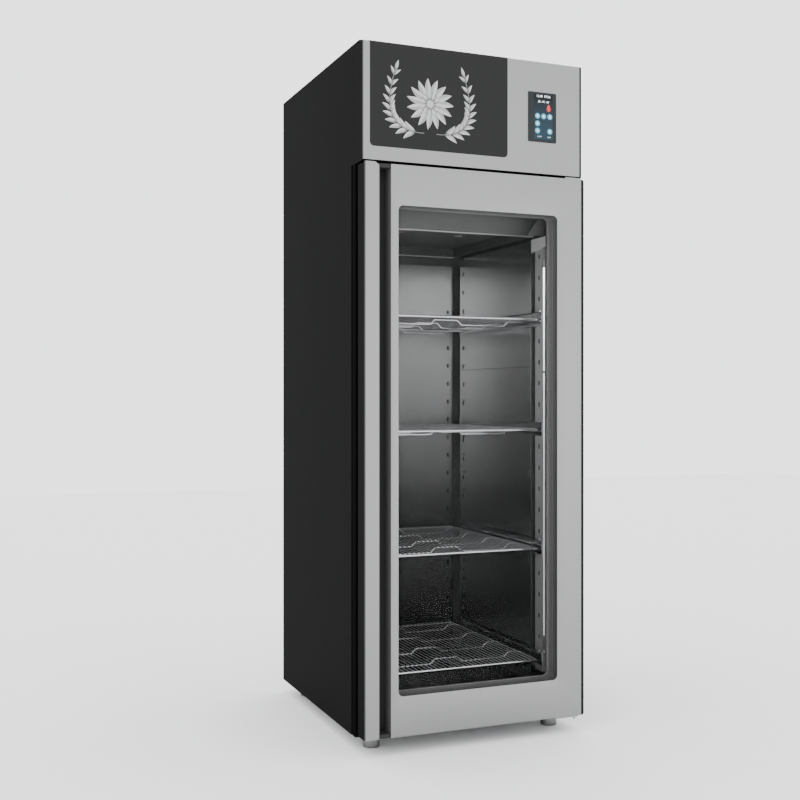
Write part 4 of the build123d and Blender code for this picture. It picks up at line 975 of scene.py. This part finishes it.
for step in range(duct["count"]):
    z = duct["slotZ"] + (step + 1 + duct["above"] - duct["count"]) * duct["pitch"]
    if rearDuctLow.z + duct["margin"] < z < rearDuctHigh.z - duct["margin"]:
        for side in (-1, 1):
            x, half, high = side * duct["slotX"], duct["slotHalf"], duct["slotHigh"]
            outline = roundedOutline((x - half, z - high), (x + half, z + high), duct["slotCorner"], 4)
            shadow = plateGrid(outline, rearDuctLow.y - duct["behind"], 0.0004)
            seamAndShadowNet.grid(shadow, wrapV=True, capU=True)
seamAndShadowNet.piece("ductSeamsAndSlotShadows", "cabinet", "black_plastic", paint="dark_steel")

# dark folded strips behind the racks' slots and in the back corners: painted shade, dark sheets set where
# there is only shade
slotShade = {"face": 0.2782, "thick": 0.0008, "lip": 0.0015, "inset": 0.004, "ends": 0.010, "half": 0.012,
            "rear": 0.273}
rackLow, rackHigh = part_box("rack_posts")
behindRack = (rackLow.y + slotShade["inset"], rackHigh.y - slotShade["inset"], rackLow.z, rackHigh.z)
behindDuct = (slotShade["rear"] - slotShade["half"], slotShade["rear"] + slotShade["half"], ductLow.z, ductHigh.z)
near, thick = slotShade["face"], slotShade["thick"]
far = near + thick
lip = far + slotShade["lip"] + thick
shadowStripNet = Net()
for side in (-1, 1):
    for y0, y1, low, high in (behindRack, behindDuct):
        ring = np.array([(lip, y0), (near, y0), (near, y1), (lip, y1), (lip, y1 - thick), (far, y1 - thick),
                         (far, y0 + thick), (lip, y0 + thick)]) * (side, 1)
        strip = uprightGrid(ring, low + slotShade["ends"], high - slotShade["ends"])
        shadowStripNet.grid(strip, wrapV=True, capU=True)
shadowStripNet.piece("slotShadowStrips", "cabinet", "black_plastic")

# wire shelves: a round border, thin wires from front to back and bent wires across under them
shelf = {
    "border": 0.003, "wire": 0.0015, "cross": 0.0025, "bend": 0.015, "gaps": 34, "bite": 0.0005,
    "over": 0.001, "drop": 0.015, "crossBend": 0.006, "across": (0.21, 0.45, 0.69, 0.93),
    "bends": ((-1, 0), (-0.85, 0), (-0.78, 1), (-0.21, 1), (-0.15, 0), (0.15, 0), (0.21, 1), (0.78, 1),
              (0.85, 0), (1, 0)),
}
for number in (1, 2, 3, 4):
    node = "shelf_%d" % number
    low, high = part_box(node)
    border, over = shelf["border"], shelf["over"]
    x0, x1, y0, y1 = low.x + border, high.x - border, low.y + border, high.y - border
    gridZ = high.z - shelf["wire"]
    level = gridZ - border - shelf["wire"] + shelf["bite"]
    net = Net()
    frameCorners = [(x0, y0, level), (x1, y0, level), (x1, y1, level), (x0, y1, level)]
    loop = bentPath(frameCorners, shelf["bend"], 8, True)
    net.grid(tubeGrid(loop, (0, 0, 1), border, 14, True), wrapU=True, wrapV=True)
    for i in range(1, shelf["gaps"]):
        x = x0 + (x1 - x0) * i / shelf["gaps"]
        run = np.array([(x, y0 - over, gridZ), (x, y0, gridZ), (x, y1, gridZ), (x, y1 + over, gridZ)])
        wire = tubeGrid(run, (1, 0, 0), shelf["wire"], 8)
        net.grid(wire, wrapV=True, capU=True, marks=np.ones((4, 8, 2)))
    crossZ = gridZ - shelf["wire"] - shelf["cross"] + shelf["bite"]
    middle, half = (x0 + x1) / 2, (x1 - x0) / 2
    for share in shelf["across"]:
        y = low.y + share * (high.y - low.y)
        corners = [(middle + b * half, y, crossZ - d * shelf["drop"]) for b, d in shelf["bends"]]
        cross = tubeGrid(bentPath(corners, shelf["crossBend"], 5), (0, 1, 0), shelf["cross"], 10)
        net.grid(cross, wrapV=True, capU=True)
    net.piece("wire_" + node, node + "_body", "chromed_wire", (node,), flat=60)
print("inside dressed")
